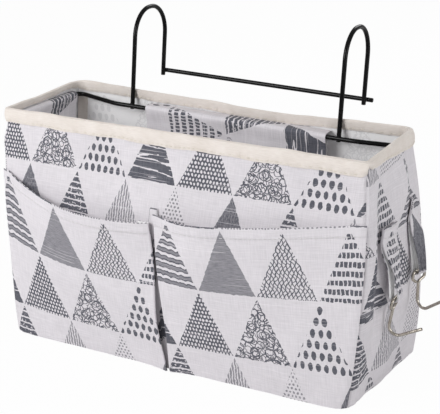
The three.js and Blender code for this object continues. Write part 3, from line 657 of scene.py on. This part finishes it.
def bent(corners, closed=False, fineness=0.1):
    """The path of a bent wire: straight runs between corners, each (x, y, z, radius of its bend)."""
    places = [Vector(corner[:3]) for corner in corners]
    bends = [corner[3] if len(corner) > 3 else 0 for corner in corners]
    path = []
    for i, (at, radius) in enumerate(zip(places, bends)):
        if not radius:
            path.append(at)
            continue
        before = (places[i - 1] - at).normalized()
        after = (places[(i + 1) % len(places)] - at).normalized()
        turn = pi - before.angle(after)
        centre = at + (before + after).normalized() * (radius / cos(turn / 2))
        arm = at + before * radius * np.tan(turn / 2) - centre
        axis = before.cross(after) * -1
        steps = max(4, int(turn / fineness))
        path += [centre + Matrix.Rotation(turn * k / steps, 3, axis) @ arm for k in range(steps + 1)]
    points = np.array([p[:] for p in path])
    if closed:
        return points
    keep = np.concatenate([[True], np.linalg.norm(np.diff(points, axis=0), axis=1) > 1e-6])
    return points[keep]


def add_wire(name, points, diameter, material, body, closed=False, sides=20, spacing=0.004):
    """Round wire along a path, with its cut ends slightly rounded."""
    if closed:
        points = np.concatenate([points, points[:1]])
    line = np.concatenate([[0], np.cumsum(np.linalg.norm(np.diff(points, axis=0), axis=1))])
    extra = [np.linspace(a, b, max(2, int((b - a) / spacing) + 1)) for a, b in zip(line[:-1], line[1:])]
    at = np.unique(np.concatenate(extra))
    if closed:
        at = at[:-1]
    else:
        dome, end = diameter * 0.12, line[-1]
        between = at[(at > dome * 1.2) & (at < end - dome * 1.2)]
        at = np.concatenate([[0, dome * 0.3, dome], between, [end - dome, end - dome * 0.3, end]])
    radius = np.full(len(at), diameter / 2)
    if not closed:
        radius[[0, -1]] *= 0.76
        radius[[1, -2]] *= 0.92
    path = np.stack([np.interp(at, line, points[:, k]) for k in range(3)], -1)
    if closed:
        way = np.roll(path, -1, 0) - np.roll(path, 1, 0)
    else:
        way = np.gradient(path, axis=0)
    way /= np.linalg.norm(way, axis=1, keepdims=True)
    flank = np.cross(way[0], [0.31, 0.52, 0.80])
    flanks = []
    for step in way:
        flank = flank - step * (flank @ step)
        flank = flank / np.linalg.norm(flank)
        flanks.append(flank)
    flanks = np.array(flanks)
    over = np.cross(way, flanks)
    turns = np.arange(sides) * 2 * pi / sides
    rings = path[:, None] + radius[:, None, None] * (
        np.cos(turns)[None, :, None] * flanks[:, None] + np.sin(turns)[None, :, None] * over[:, None]
    )
    ids = np.arange(len(path) * sides).reshape(len(path), sides)
    on = np.roll(ids, -1, 0) if closed else ids[1:]
    near = ids if closed else ids[:-1]
    faces = np.stack([near, np.roll(near, -1, 1), np.roll(on, -1, 1), on], -1).reshape(-1, 4).tolist()
    if not closed:
        faces += [ids[0, ::-1].tolist(), ids[-1].tolist()]
    uv = np.stack(np.broadcast_arrays(turns[None, :] * diameter / 2, at[:, None]), -1)
    return add_piece(name, rings, faces, [material], uv, body=body, sharp=70)


def black_coating(name):
    """Satin black coating with a faint orange peel, slightly greyer where it is rubbed."""
    material, shader, uv = add_finish(name, 0.20, 0.18)
    peel, rub = uv.noise(1400, 2.0), uv.stretch(1, 0.35, 0).noise(180, 3.0)
    link((rub * 2.2 - 0.9).blend((*WIRE_BLACK, 1), (*WIRE_WORN, 1)), shader, "Base Color")
    link(0.15 + rub * 0.12, shader, "Roughness")
    link(uv.node("Bump", None, {"Strength": 0.10, "Distance": 0.0001, "Height": peel}), shader, "Normal")
    return material


black_wire = black_coating("black_wire")
wire_back_y = leg_y(ring_z(HOOK_X)) - WIRE - CLEARANCE
jog_x = HOOK_X + HOOK_TO_JOG
rim_ring = bent(
    [
        (-wire_x, wire_front_y, ring_left_z, WIRE_BEND),
        (wire_x, wire_front_y, ring_right_z, WIRE_BEND),
        (wire_x, wire_corner_y, ring_right_z, WIRE_BEND),
        (jog_x, wire_back_y, ring_z(jog_x), WIRE_JOG_BEND),
        (-jog_x, wire_back_y, ring_z(-jog_x), WIRE_JOG_BEND),
        (-wire_x, wire_corner_y, ring_left_z, WIRE_BEND),
    ],
    closed=True,
    fineness=0.03,
)
piece = add_wire("rim_ring", rim_ring, WIRE, black_wire, "caddy", closed=True)
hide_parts("rim_wire")
arch = (HOOK_REACH - ARCH_FLAT) / 2 * cos(np.arctan(LEG_SLOPE))
for hand, x in (("left", -HOOK_X), ("right", HOOK_X)):
    foot, back_foot = ring_z(x) - WELD_TAIL, bar_z(x) - WELD_TAIL
    path = bent(
        [
            (x, leg_y(foot), foot),
            (x, leg_y(HOOK_TOP), HOOK_TOP, arch),
            (x, leg_y(HOOK_TOP) + HOOK_REACH, HOOK_TOP, arch),
            (x, leg_y(back_foot) + HOOK_REACH, back_foot),
        ]
    )
    piece = add_wire(f"{hand}_rail_hook", path, WIRE, black_wire, "caddy")
    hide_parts(f"{hand}_bed_hook")
bar_ends = (-HOOK_X - WIRE / 2, HOOK_X + BAR_END)
bar = np.array([(x, leg_y(bar_z(x)) + HOOK_REACH + WIRE + CLEARANCE, bar_z(x)) for x in bar_ends])
piece = add_wire("rail_bar", bar, WIRE, black_wire, "caddy")
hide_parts("bed_bar")


def add_weld(name, centre):
    """A small bead of weld metal in the groove between two crossing wires."""
    steps, turns = np.linspace(0.02, pi - 0.02, 12)[:, None], np.arange(20) * 2 * pi / 20
    lumps = 1 + 0.10 * np.sin(3 * turns + 2 * steps) * np.sin(steps)
    ball = [np.sin(steps) * np.cos(turns), np.sin(steps) * np.sin(turns), np.cos(steps) + 0 * turns]
    rings = np.array(centre) + np.stack(ball, -1) * lumps[..., None] * np.array(WELD_SIZE)
    ids = np.arange(rings.size // 3).reshape(12, 20)
    beside = np.roll(ids, -1, 1)
    faces = np.stack([ids[:-1], ids[1:], beside[1:], beside[:-1]], -1).reshape(-1, 4).tolist()
    faces += [ids[0].tolist(), ids[-1, ::-1].tolist()]
    uv = np.stack(np.broadcast_arrays(turns * WIRE / 2, steps * WIRE / 2), -1)
    weld = add_piece(name, rings, faces, [black_wire], uv)


for hand, x in (("left", -HOOK_X), ("right", HOOK_X)):
    half_pitch = (WIRE + CLEARANCE) / 2
    add_weld(f"{hand}_ring_weld", (x, leg_y(ring_z(x)) - half_pitch, ring_z(x)))
    add_weld(f"{hand}_bar_weld", (x, leg_y(bar_z(x)) + HOOK_REACH + half_pitch, bar_z(x)))

# Sleeves. Strips of the same canvas hang from under the binding, round the rim wire and back up, so
# that they hold the wire inside the rim. The wire shows only between them.
SLEEVE_CLOTH, SLEEVE_FOLD, SLEEVE_LEAN, SLEEVE_PRINT = 0.0008, 0.0011, 0.0020, (0.128, 0.118)
SLEEVE_WAVES = ((0.0007, 95, 1.3), (0.0005, 211, 0), (0.0003, 377, 0))
wire_outs = {"front": -wire_front_y, "back": wire_back_y, "left": wire_x, "right": wire_x}
for side, (turn, *_) in SIDES.items():
    lo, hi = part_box(f"{side}_sleeve")
    is_end = side in ("left", "right")
    way = {"front": 1, "back": -1, "right": 1, "left": -1}[side]
    half_run = (hi.y - lo.y) / 2 if is_end else (hi.x - lo.x) / 2
    middle = way * ((lo.y + hi.y) / 2 if is_end else (lo.x + hi.x) / 2)
    columns = middle + np.linspace(-half_run, half_run, max(24, int(half_run / 0.0020)))
    if is_end:
        wire_z = np.full(len(columns), ring_right_z if side == "right" else ring_left_z)
    elif side == "back":
        wire_z = ring_z(-columns)
    else:
        wire_z = ring_left_z + (ring_right_z - ring_left_z) * (columns + wire_x) / (2 * wire_x)
    wave = sum(size * np.sin(columns * rate + start) for size, rate, start in SLEEVE_WAVES)
    sag = 0.0018 * np.sin(columns * 41 + 0.6) + 0.0010 * np.sin(columns * 127)
    to_wall = np.min(plan(side, wire_z + SLEEVE_LOOP)[2], axis=0) - CANVAS - CLEARANCE - wire_outs[side]
    fold_z = SLEEVE_LOOP + SLEEVE_FOLD - SLEEVE_DROP
    over, under = np.linspace(pi / 2 - 0.05, pi, 10), np.linspace(pi, 2 * pi, 10)
    share = np.linspace(0.03, 0.97, 14)
    side_out = SLEEVE_FOLD + (SLEEVE_LOOP - SLEEVE_FOLD) * (1 - ease(0.0, 0.45, share))
    outline = np.concatenate(
        [
            [(0.0021, SLEEVE_LOOP), (0.0012, SLEEVE_LOOP)],
            SLEEVE_LOOP * np.stack([np.cos(over), np.sin(over)], -1),
            np.stack([SLEEVE_LEAN * share - side_out, fold_z * share], -1),
            np.array([SLEEVE_LEAN, fold_z]) + SLEEVE_FOLD * np.stack([np.cos(under), np.sin(under)], -1),
            np.stack([SLEEVE_LEAN * share + side_out, fold_z * share], -1)[::-1],
            [(SLEEVE_LOOP * cos(0.5), SLEEVE_LOOP * sin(0.5))],
        ]
    )
    hang = np.clip(-outline[:, 1] / SLEEVE_DROP, 0, 1)[:, None]
    out = wire_outs[side] + outline[:, [0]] + wave * (0.2 + hang) * 1.2
    out[:2] = wire_outs[side] + np.array([[0.9], [0.5]]) * np.maximum(to_wall, 0.001)
    height = wire_z + outline[:, [1]] + sag * hang
    along = np.broadcast_to(columns, out.shape)
    face = np.stack([out * cos(turn) - along * sin(turn), out * sin(turn) + along * cos(turn), height], -1)
    climb = run_length(face, 0)
    uv = np.stack([SLEEVE_PRINT[0] + climb, SLEEVE_PRINT[1] + way * along], -1)
    sleeve = add_cloth(f"{side}_wire_sleeve", face, SLEEVE_CLOTH, uv, canvas_sides)
    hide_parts(f"{side}_sleeve")
    2 * half_run

# Pocket panel. One sheet of the canvas makes both front pockets: it is sewn down at the corner seams
# and the foot, and an inverted pleat between the pockets is tacked at its top. The hemmed mouths
# gape and dip between these.
POCKET_CLOTH, POCKET_GAPE, POCKET_FLARE, PLEAT_DEPTH, HEM = 0.0010, 0.018, 1.2, 0.0105, 0.009
PLEAT_TOP_X, PLEAT_FOOT_X, PLEAT_TOP_Z, PLEAT_STAND = -0.0175, 0.0015, 0.143, 0.0062
LEFT_MOUTH = {"end": 0.153, "low": 0.131, "rise": 4}
RIGHT_MOUTH = {"end": 0.158, "low": 0.1325, "rise": 1}
# The print on the pocket: its start along and up the cloth, how far a row leans over, how tall a row is
# there, and the height that the print is laid out on.
POCKET_PRINT = {"u": -0.1178, "v": -0.2935, "lean": -0.0055, "row": 0.053, "tall": 0.1325}
FOLD, POCKET_FOOT, UNDERLAY, UNDERLAY_TOP, PLEAT_CLOTH = 0.0012, 0.0008, 0.0013, 0.1300, 0.0465
HALF_COLUMNS, CORNER_COLUMNS = 84, 8
up = np.concatenate([np.linspace(0, 0.9, 44), np.linspace(0.9, 1, 14)[1:]])[:, None]
half = np.linspace(1, 0, HALF_COLUMNS)[None, :] ** 1.15


def mouth_z(shape, from_pleat, peak):
    """Height of a pocket's mouth, which dips between the corner seam and the pleat."""
    rise = (shape["end"] - shape["low"]) * from_pleat ** shape["rise"]
    return shape["low"] + rise + peak


def pocket_half(shape, sign, top, peak_reach):
    """Stations, heights and lift from the wall of one pocket, from its seam to the pleat."""
    peak = (top - shape["low"]) * np.exp(-((half * 0.16 / peak_reach) ** 1.2))
    z = POCKET_FOOT + (mouth_z(shape, half, peak) - POCKET_FOOT) * up
    pleat_x = PLEAT_FOOT_X + (PLEAT_TOP_X - PLEAT_FOOT_X) * z / PLEAT_TOP_Z
    gap = 0.0042 + 0.0042 * np.exp(-(((z - 0.042) / 0.030) ** 2)) + 0.0030 * ease(0.098, 0.136, z)
    fold_x = pleat_x + sign * gap * 0.5
    start, end, *_ = plan("front", z)
    seam_x = start if sign < 0 else end
    x = fold_x + (seam_x - fold_x) * half
    lobe = (1 - (1 - half) ** 5) * (1 - half**2)
    gape = POCKET_GAPE * lobe * up**POCKET_FLARE
    from_fold = np.abs(x - fold_x)
    stand = (PLEAT_STAND - 0.0013) * np.exp(-from_fold / 0.014) * (1 - half**4)
    belly = (0.0028 - sign * 0.0014) * np.exp(-(((z - 0.055) / 0.036) ** 2))
    puff = belly * np.exp(-from_fold / 0.030) * (1 - half**4)
    crease = 0.0005 * np.sin(x * 150 + z * 24) * np.sin(z * 31 + x * 46) * lobe
    sag = 0.0011 * np.sin(x * 62 + 0.8) * lobe * up**2
    hem = 0.0006 * ease(-HEM - 0.0008, -HEM + 0.0004, z - mouth_z(shape, half, peak))
    lift = CLEARANCE + POCKET_CLOTH + gape + stand + puff + crease + sag + hem
    return 2 * (x - start) / (end - start) - 1, z, lift, x, fold_x


left = pocket_half(LEFT_MOUTH, -1, 0.1318, 0.006)
right = [part[:, ::-1] for part in pocket_half(RIGHT_MOUTH, 1, 0.1400, 0.020)]
mouths = (left[1][-1, -1], right[1][-1, 0])
left_fold, right_fold = left[4][:, [-1]], right[4][:, [0]]
left_lift, right_lift = left[2][:, [-1]], right[2][:, [0]]
inner_left, inner_right = left_fold - PLEAT_DEPTH, right_fold + PLEAT_DEPTH
turns = np.linspace(0, pi, 7)[None, 1:-1]
spread = np.linspace(0, 1, 9)[None, 1:-1]
layers_x, layers_lift, layers_top = [], [], []


def add_layer(x, lift, tops):
    """Columns of the pleat's hidden cloth: place along the wall, lift from it, and upper edge."""
    x, lift = np.broadcast_arrays(x, lift)
    layers_x.append(x)
    layers_lift.append(lift)
    layers_top.append(np.broadcast_to(tops, x.shape[1:]))


add_layer(left_fold + FOLD * np.sin(turns), left_lift - FOLD + FOLD * np.cos(turns), mouths[0] - 0.0003)
add_layer(
    left_fold + (inner_left - left_fold) * spread,
    left_lift - 2 * FOLD + (UNDERLAY + 0.0006 - left_lift + 2 * FOLD) * spread,
    np.linspace(mouths[0] - 0.0006, UNDERLAY_TOP, spread.size),
)
add_layer(inner_left - 0.0003 * np.sin(turns), UNDERLAY + 0.0003 + 0.0003 * np.cos(turns), UNDERLAY_TOP)
underlay_x = inner_left + (inner_right - inner_left) * np.linspace(0, 1, 56)[None, :]
top_x, folds = underlay_x[-1], (left_fold[-1], right_fold[-1])
past_right = ease(folds[1] + 0.0004, folds[1] + 0.0016, top_x)
shown = ease(folds[0] - 0.0016, folds[0] - 0.0004, top_x) * (1 - past_right)
add_layer(underlay_x, UNDERLAY + 0 * left_fold, UNDERLAY_TOP + (PLEAT_TOP_Z - UNDERLAY_TOP) * shown)
add_layer(inner_right + 0.0003 * np.sin(turns), UNDERLAY + 0.0003 - 0.0003 * np.cos(turns), UNDERLAY_TOP)
add_layer(
    inner_right + (right_fold - inner_right) * spread,
    UNDERLAY + 0.0006 + (right_lift - 2 * FOLD - UNDERLAY - 0.0006) * spread,
    np.linspace(UNDERLAY_TOP, mouths[1] - 0.0006, spread.size),
)
add_layer(right_fold - FOLD * np.sin(turns), right_lift - FOLD - FOLD * np.cos(turns), mouths[1] - 0.0003)
layers_x, layers_lift = np.concatenate(layers_x, 1), np.concatenate(layers_lift, 1)
layers_top = np.concatenate(layers_top)[None, :]
layers_z = POCKET_FOOT + (layers_top - POCKET_FOOT) * up
start, end, *_ = plan("front", layers_z)
layers_station = 2 * (layers_x - start) / (end - start) - 1
corner = np.linspace(2, 1, CORNER_COLUMNS + 1)[None, :-1]
left_corner = (-corner + 0 * up, left[1][:, [0]] + 0 * corner, left[2][:, [0]] + 0 * corner)
right_corner = (corner[:, ::-1] + 0 * up, right[1][:, [-1]] + 0 * corner, right[2][:, [-1]] + 0 * corner)
station = np.concatenate([left_corner[0], left[0], layers_station, right[0], right_corner[0]], 1)
height = np.concatenate([left_corner[1], left[1], layers_z, right[1], right_corner[1]], 1)
lift = np.concatenate([left_corner[2], left[2], layers_lift, right[2], right_corner[2]], 1)
tuck = FOOT_ROLL - np.sqrt(FOOT_ROLL**2 - np.maximum(0, FOOT_ROLL - height) ** 2)
face = give(wall("front", station, height, tuck - lift))
pleat_columns, before = layers_x.shape[1], CORNER_COLUMNS + HALF_COLUMNS
pleat_run = run_length(face[:, before - 1 : before + pleat_columns + 1], 1)
pleat_u = (right[3][:, [0]] + PLEAT_CLOTH - left[3][:, [-1]]) * (pleat_run / pleat_run[:, [-1]])[:, 1:-1]
cloth_u = np.concatenate(
    [
        left[3][:, [0]] - run_length(face[:, : CORNER_COLUMNS + 1], 1)[:, ::-1][:, :-1],
        left[3],
        left[3][:, [-1]] + pleat_u,
        right[3] + PLEAT_CLOTH,
        right[3][:, [-1]] + PLEAT_CLOTH + run_length(face[:, -CORNER_COLUMNS - 1 :], 1)[:, 1:],
    ],
    1,
)
rise = (up * POCKET_PRINT["tall"] + 0 * height - POCKET_PRINT["v"]) / POCKET_PRINT["row"]
uv = np.stack([cloth_u - POCKET_PRINT["u"] - POCKET_PRINT["lean"] * rise, rise * PRINT_ROW], -1)
thickness = POCKET_CLOTH + 0 * up + 0 * cloth_u
thickness[-1] *= 0.45
pocket = add_cloth("pocket_cloth", face, thickness, uv, canvas_sides)
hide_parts("pocket_panel")
cut = (float(run_length(face, 1)[-1].max()), float(run_length(face, 0)[-1].max()))

# Pocket stitching. The hem of each pocket's mouth is turned in and sewn down with one row of white
# cotton thread, which stops short of the corner seam and the pleat.
THREAD_WHITE = (0.80, 0.78, 0.79)
white_thread = sewing_thread("white_thread", THREAD_WHITE)
normals = facing(face)


def on_pocket(columns, below):
    """Points and normals on the pocket, a distance below its mouth."""
    points, ways = [], []
    for column in range(*columns):
        level = height[-1, column] - below
        points.append([np.interp(level, height[:, column], face[:, column, k]) for k in range(3)])
        ways.append([np.interp(level, height[:, column], normals[:, column, k]) for k in range(3)])
    return np.array(points), np.array(ways)


after = before + pleat_columns
for hand, columns in (("left", (4, before - 1)), ("right", (after + 1, face.shape[1] - 4))):
    add_stitches(f"{hand}_hem_stitches", *on_pocket(columns, HEM), white_thread)

# Hook tabs. Each is one strap of doubled canvas, sewn flat to the right end wall at its top and
# gathered at its foot into the eye of a metal hook. It bends at its last row of stitches.
TAB_CLOTH, TAB_WIDTH, TAB_FOOT_WIDTH, TAB_LENGTH = 0.0009, 0.022, 0.009, 0.064
TAB_STITCHED, TAB_LOOP, TAB_BOW, TAB_SHARE, TAB_STITCH_ROWS = 0.012, 0.004, 0.6, 0.8, (-2, -7)
TABS = {
    "front": {
        "hung": (0.1750746, -0.027, 0.148),
        "bar_out": 0.007208,
        "twist": 0.0,
        "lean": radians(9),
        "print": (0.156, -0.018),
    },
    "rear": {
        "hung": (0.1759148, 0.020, 0.155),
        "bar_out": 0.010317,
        "twist": radians(-26),
        "lean": 0.0,
        "print": (0.078, 0.042),
    },
}


def curve(start, control, end, steps):
    """A soft bend from start to end, drawn towards a control point."""
    t = np.linspace(0, 1, steps)[:, None]
    return (1 - t) ** 2 * np.array(start) + 2 * t * (1 - t) * np.array(control) + t**2 * np.array(end)


for name, tab in TABS.items():
    bar_out, loop_z = tab["bar_out"], TAB_LOOP - TAB_LENGTH
    top = -TAB_STITCHED - CLEARANCE
    near, far = bar_out - TAB_LOOP, bar_out + TAB_LOOP
    inner = curve((0, top), (TAB_BOW * near, loop_z / 2), (near, loop_z), 22)
    turns = np.linspace(pi, 2 * pi, 14)[1:-1]
    bottom = np.stack([bar_out + TAB_LOOP * np.cos(turns), loop_z + TAB_LOOP * np.sin(turns)], -1)
    bow = 2 * TAB_CLOTH + TAB_BOW * (far - 2 * TAB_CLOTH)
    outer = curve((far, loop_z), (bow, loop_z / 2), (2 * TAB_CLOTH, top), 22)
    sewn = np.linspace(-0.0004, top, 9)[:-1]
    outline = np.concatenate(
        [
            np.stack([0 * sewn, sewn], -1),
            inner,
            bottom,
            outer,
            np.stack([0 * sewn + 2 * TAB_CLOTH, sewn[::-1]], -1),
        ]
    )
    across = np.linspace(-1, 1, 19)[None, :]
    out, z = outline[:, [0]], outline[:, [1]]
    hang = np.clip((-z - TAB_STITCHED) / (TAB_LENGTH - TAB_STITCHED), 0, 1.1)
    gather = 1 + (TAB_FOOT_WIDTH / TAB_WIDTH - 1) * ease(0, 1, hang)
    pressed = 1 - ease(0.93, 1.0, hang) * 0.6
    ripple = 0.0011 * ease(0.15, 0.9, hang) * np.cos(across * 2.6 * pi + 0.5) * pressed
    is_outer = np.arange(len(outline))[:, None] > len(sewn) + len(inner) + len(bottom) // 2
    sideways = TAB_WIDTH / 2 * across * gather
    puff = 0.0005 * (1 - across**2) * np.sin(pi * np.clip(hang, 0, 1))
    local_out = out + ripple + np.where(is_outer, 1, -0.3) * puff - bar_out
    twist = tab["twist"] * hang
    x = local_out * np.cos(twist) - sideways * np.sin(twist) + bar_out
    y = local_out * np.sin(twist) + sideways * np.cos(twist)
    strap = np.array(tab["hung"]) + np.stack(np.broadcast_arrays(x, y, z), -1)
    still = give(strap)
    strap = strap + (still - strap) * (1 - ease(0.0, 0.5, hang))[..., None]
    climb = run_length(strap, 0)[:, [9]]
    print_u, print_v = tab["print"]
    uv = np.stack(np.broadcast_arrays(TAB_WIDTH / 2 * across + print_u, print_v + climb), -1)
    piece = add_cloth(f"{name}_strap", strap, TAB_CLOTH, uv, canvas_sides, body=None)
    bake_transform(piece)
    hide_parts(f"{name}_tab_end", f"{name}_tab_loop")
    cut = (TAB_WIDTH, float(climb.max()))
    for number, row in enumerate(TAB_STITCH_ROWS):
        line = strap[row, 1:-1] + np.array([0.0002, 0, 0])
        outward = np.tile([1.0, 0, 0], (len(line), 1))
        add_stitches(f"{name}_tab_stitches_{number}", line, outward, white_thread)

# Small metal hooks. Each is one bright nickel-plated wire: an eye that the strap goes through, a
# shank, and an open hook that slopes up and away from the bag.
SIDE_WIRE, SIDE_BEND, EYE_SIDE_ROOM, EYE_ROOM, EYE_NECK, SHANK = 0.0026, 0.0025, 0.0012, 0.001, 0.003, 0.029
SIDE_HOOK_BEND, SIDE_HOOK_REACH, SIDE_HOOK_RISE = 0.007, 0.027, 0.020
NICKEL, NICKEL_DULL = (0.60, 0.56, 0.50), (0.40, 0.36, 0.31)


def nickel_plate(name):
    """Bright nickel with a warm cast, dulled in patches and drawn along the wire."""
    material, shader, uv = add_finish(name, 0.24, 0.5, Metallic=1.0)
    drawn, patch = uv.stretch(2600, 60, 0).noise(1.0), uv.noise(300, 3.0)
    link((patch * 1.8 - 0.5).blend((*NICKEL_DULL, 1), (*NICKEL, 1)), shader, "Base Color")
    link(0.16 + drawn * 0.10 + patch * 0.08, shader, "Roughness")
    link(uv.node("Bump", None, {"Strength": 0.15, "Distance": 0.00005, "Height": drawn}), shader, "Normal")
    return material


nickel = nickel_plate("nickel_hook")
eye = TAB_FOOT_WIDTH / 2 + EYE_SIDE_ROOM + SIDE_WIRE / 2
eye_foot = -TAB_LOOP - SIDE_WIRE / 2 - EYE_ROOM
neck = eye_foot - EYE_NECK
eye_z = TAB_CLOTH + CLEARANCE + SIDE_WIRE / 2 - TAB_LENGTH
hook_path = bent(
    [
        (0, -SIDE_WIRE - CLEARANCE, neck),
        (0, -eye, eye_foot, SIDE_BEND),
        (0, -eye, 0, SIDE_BEND),
        (0, eye, 0, SIDE_BEND),
        (0, eye, eye_foot, SIDE_BEND),
        (0, 0, neck, SIDE_BEND),
        (0, 0, neck - SHANK, SIDE_HOOK_BEND),
        (SIDE_HOOK_REACH, 0, neck - SHANK + SIDE_HOOK_RISE),
    ],
    fineness=0.12,
)
for name, tab in TABS.items():
    hang = (-eye_z - TAB_STITCHED) / (TAB_LENGTH - TAB_STITCHED)
    turned = Matrix.Rotation(tab["twist"] * hang, 3, "Z") @ Matrix.Rotation(tab["lean"], 3, "Y")
    centre = np.array(tab["hung"]) + np.array([tab["bar_out"], 0, eye_z])
    path = centre + hook_path @ np.array(turned).T
    hook = add_wire(f"{name}_metal_hook", path, SIDE_WIRE, nickel, f"{name}_hook", sides=16, spacing=0.002)
    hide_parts(f"{name}_side_hook")

# Studio. A pale floor that keeps a trace of the bag's soft shadow, a white surround, a large soft lamp
# from the left front, and weaker ones from the right and from behind.
LIGHT_KEY, LIGHT_SIDE, LIGHT_BACK, SURROUND, FLOOR_SHOWS = 15.6, 6.0, 6.0, 0.37, 0.03
FLOOR_GREY, LAMP_AIM = (0.72, 0.72, 0.72, 1), Vector((0, 0, 0.1))
bpy.ops.mesh.primitive_plane_add(size=8, location=(0, 0, -0.0002))
floor = bpy.context.object
floor.name = "studio_floor"
floor_finish, floor_shader, floor_uv = add_finish("floor_paper", 0.9, 0.1)
tree = floor_finish.node_tree
floor_shader.inputs["Base Color"].default_value = FLOOR_GREY
grain = floor_uv.noise(900, 2.0)
fibres = floor_uv.node("Bump", None, {"Strength": 0.05, "Distance": 0.0002, "Height": grain})
link(fibres, floor_shader, "Normal")
direct = floor_uv.node("LightPath", out="Is Camera Ray")
white = floor_uv.node("Emission", None, {"Color": (1, 1, 1, 1), "Strength": 1.0})
paper = Tone(tree, floor_shader.outputs[0])
shown = floor_uv.node("MixShader", None, {0: direct * (1 - FLOOR_SHOWS), 1: paper, 2: white})
tree.links.new(shown.socket, tree.nodes["Material Output"].inputs["Surface"])
floor.data.materials.append(floor_finish)

world = bpy.data.worlds.new("studio")
bpy.context.scene.world = world
world.use_nodes = True
backdrop = world.node_tree.nodes["Background"]
surround = Tone(world.node_tree, backdrop.outputs[0])
direct = surround.node("LightPath", out="Is Camera Ray")
backdrop.inputs["Color"].default_value = (1, 1, 1, 1)
link(direct * (1 - SURROUND) + SURROUND, backdrop, "Strength")


def add_lamp(name, place, size, power):
    """A round soft lamp that faces the middle of the bag."""
    lamp = bpy.data.lights.new(name, "AREA")
    lamp.shape, lamp.size, lamp.energy = "DISK", size, power
    holder = bpy.data.objects.new(name, lamp)
    holder.location = place
    holder.rotation_euler = (LAMP_AIM - Vector(place)).to_track_quat("-Z", "Y").to_euler()
    bpy.context.scene.collection.objects.link(holder)


add_lamp("key_lamp", (-0.60, -1.20, 0.82), 0.9, LIGHT_KEY)
add_lamp("side_lamp", (1.35, -0.20, 0.50), 0.8, LIGHT_SIDE)
add_lamp("back_lamp", (0.10, 1.30, 1.05), 0.9, LIGHT_BACK)

# Camera, at the photograph's viewing angle and distance. The focal length is in picture widths, and
# the shifts move the camera to the right and up.
LOOK_AT, SENSOR = Vector((0, -0.007, 0.1164)), 36
AZIMUTH, ELEVATION, ROLL = radians(26.9269), radians(19.7317), radians(0.3182)
FOCAL, DISTANCE, SHIFT_RIGHT, SHIFT_UP = 1201.6553 / 440, 1.0493898, 0.0123131, 0.0102084
away = Vector((sin(AZIMUTH) * cos(ELEVATION), -cos(AZIMUTH) * cos(ELEVATION), sin(ELEVATION)))
across = Vector((cos(AZIMUTH), sin(AZIMUTH), 0))
upward = away.cross(across)
place = LOOK_AT + across * SHIFT_RIGHT + upward * SHIFT_UP + away * DISTANCE
rolled_across = across * cos(ROLL) + upward * sin(ROLL)
rolled_up = upward * cos(ROLL) - across * sin(ROLL)
lens = bpy.data.cameras.new("photo_camera")
lens.sensor_width, lens.lens = SENSOR, FOCAL * SENSOR
camera = bpy.data.objects.new("photo_camera", lens)
camera.matrix_world = Matrix((rolled_across, rolled_up, away)).transposed().to_4x4()
camera.location = place
bpy.context.scene.collection.objects.link(camera)
bpy.context.scene.camera = camera
bpy.context.scene.view_settings.view_transform = "Standard"
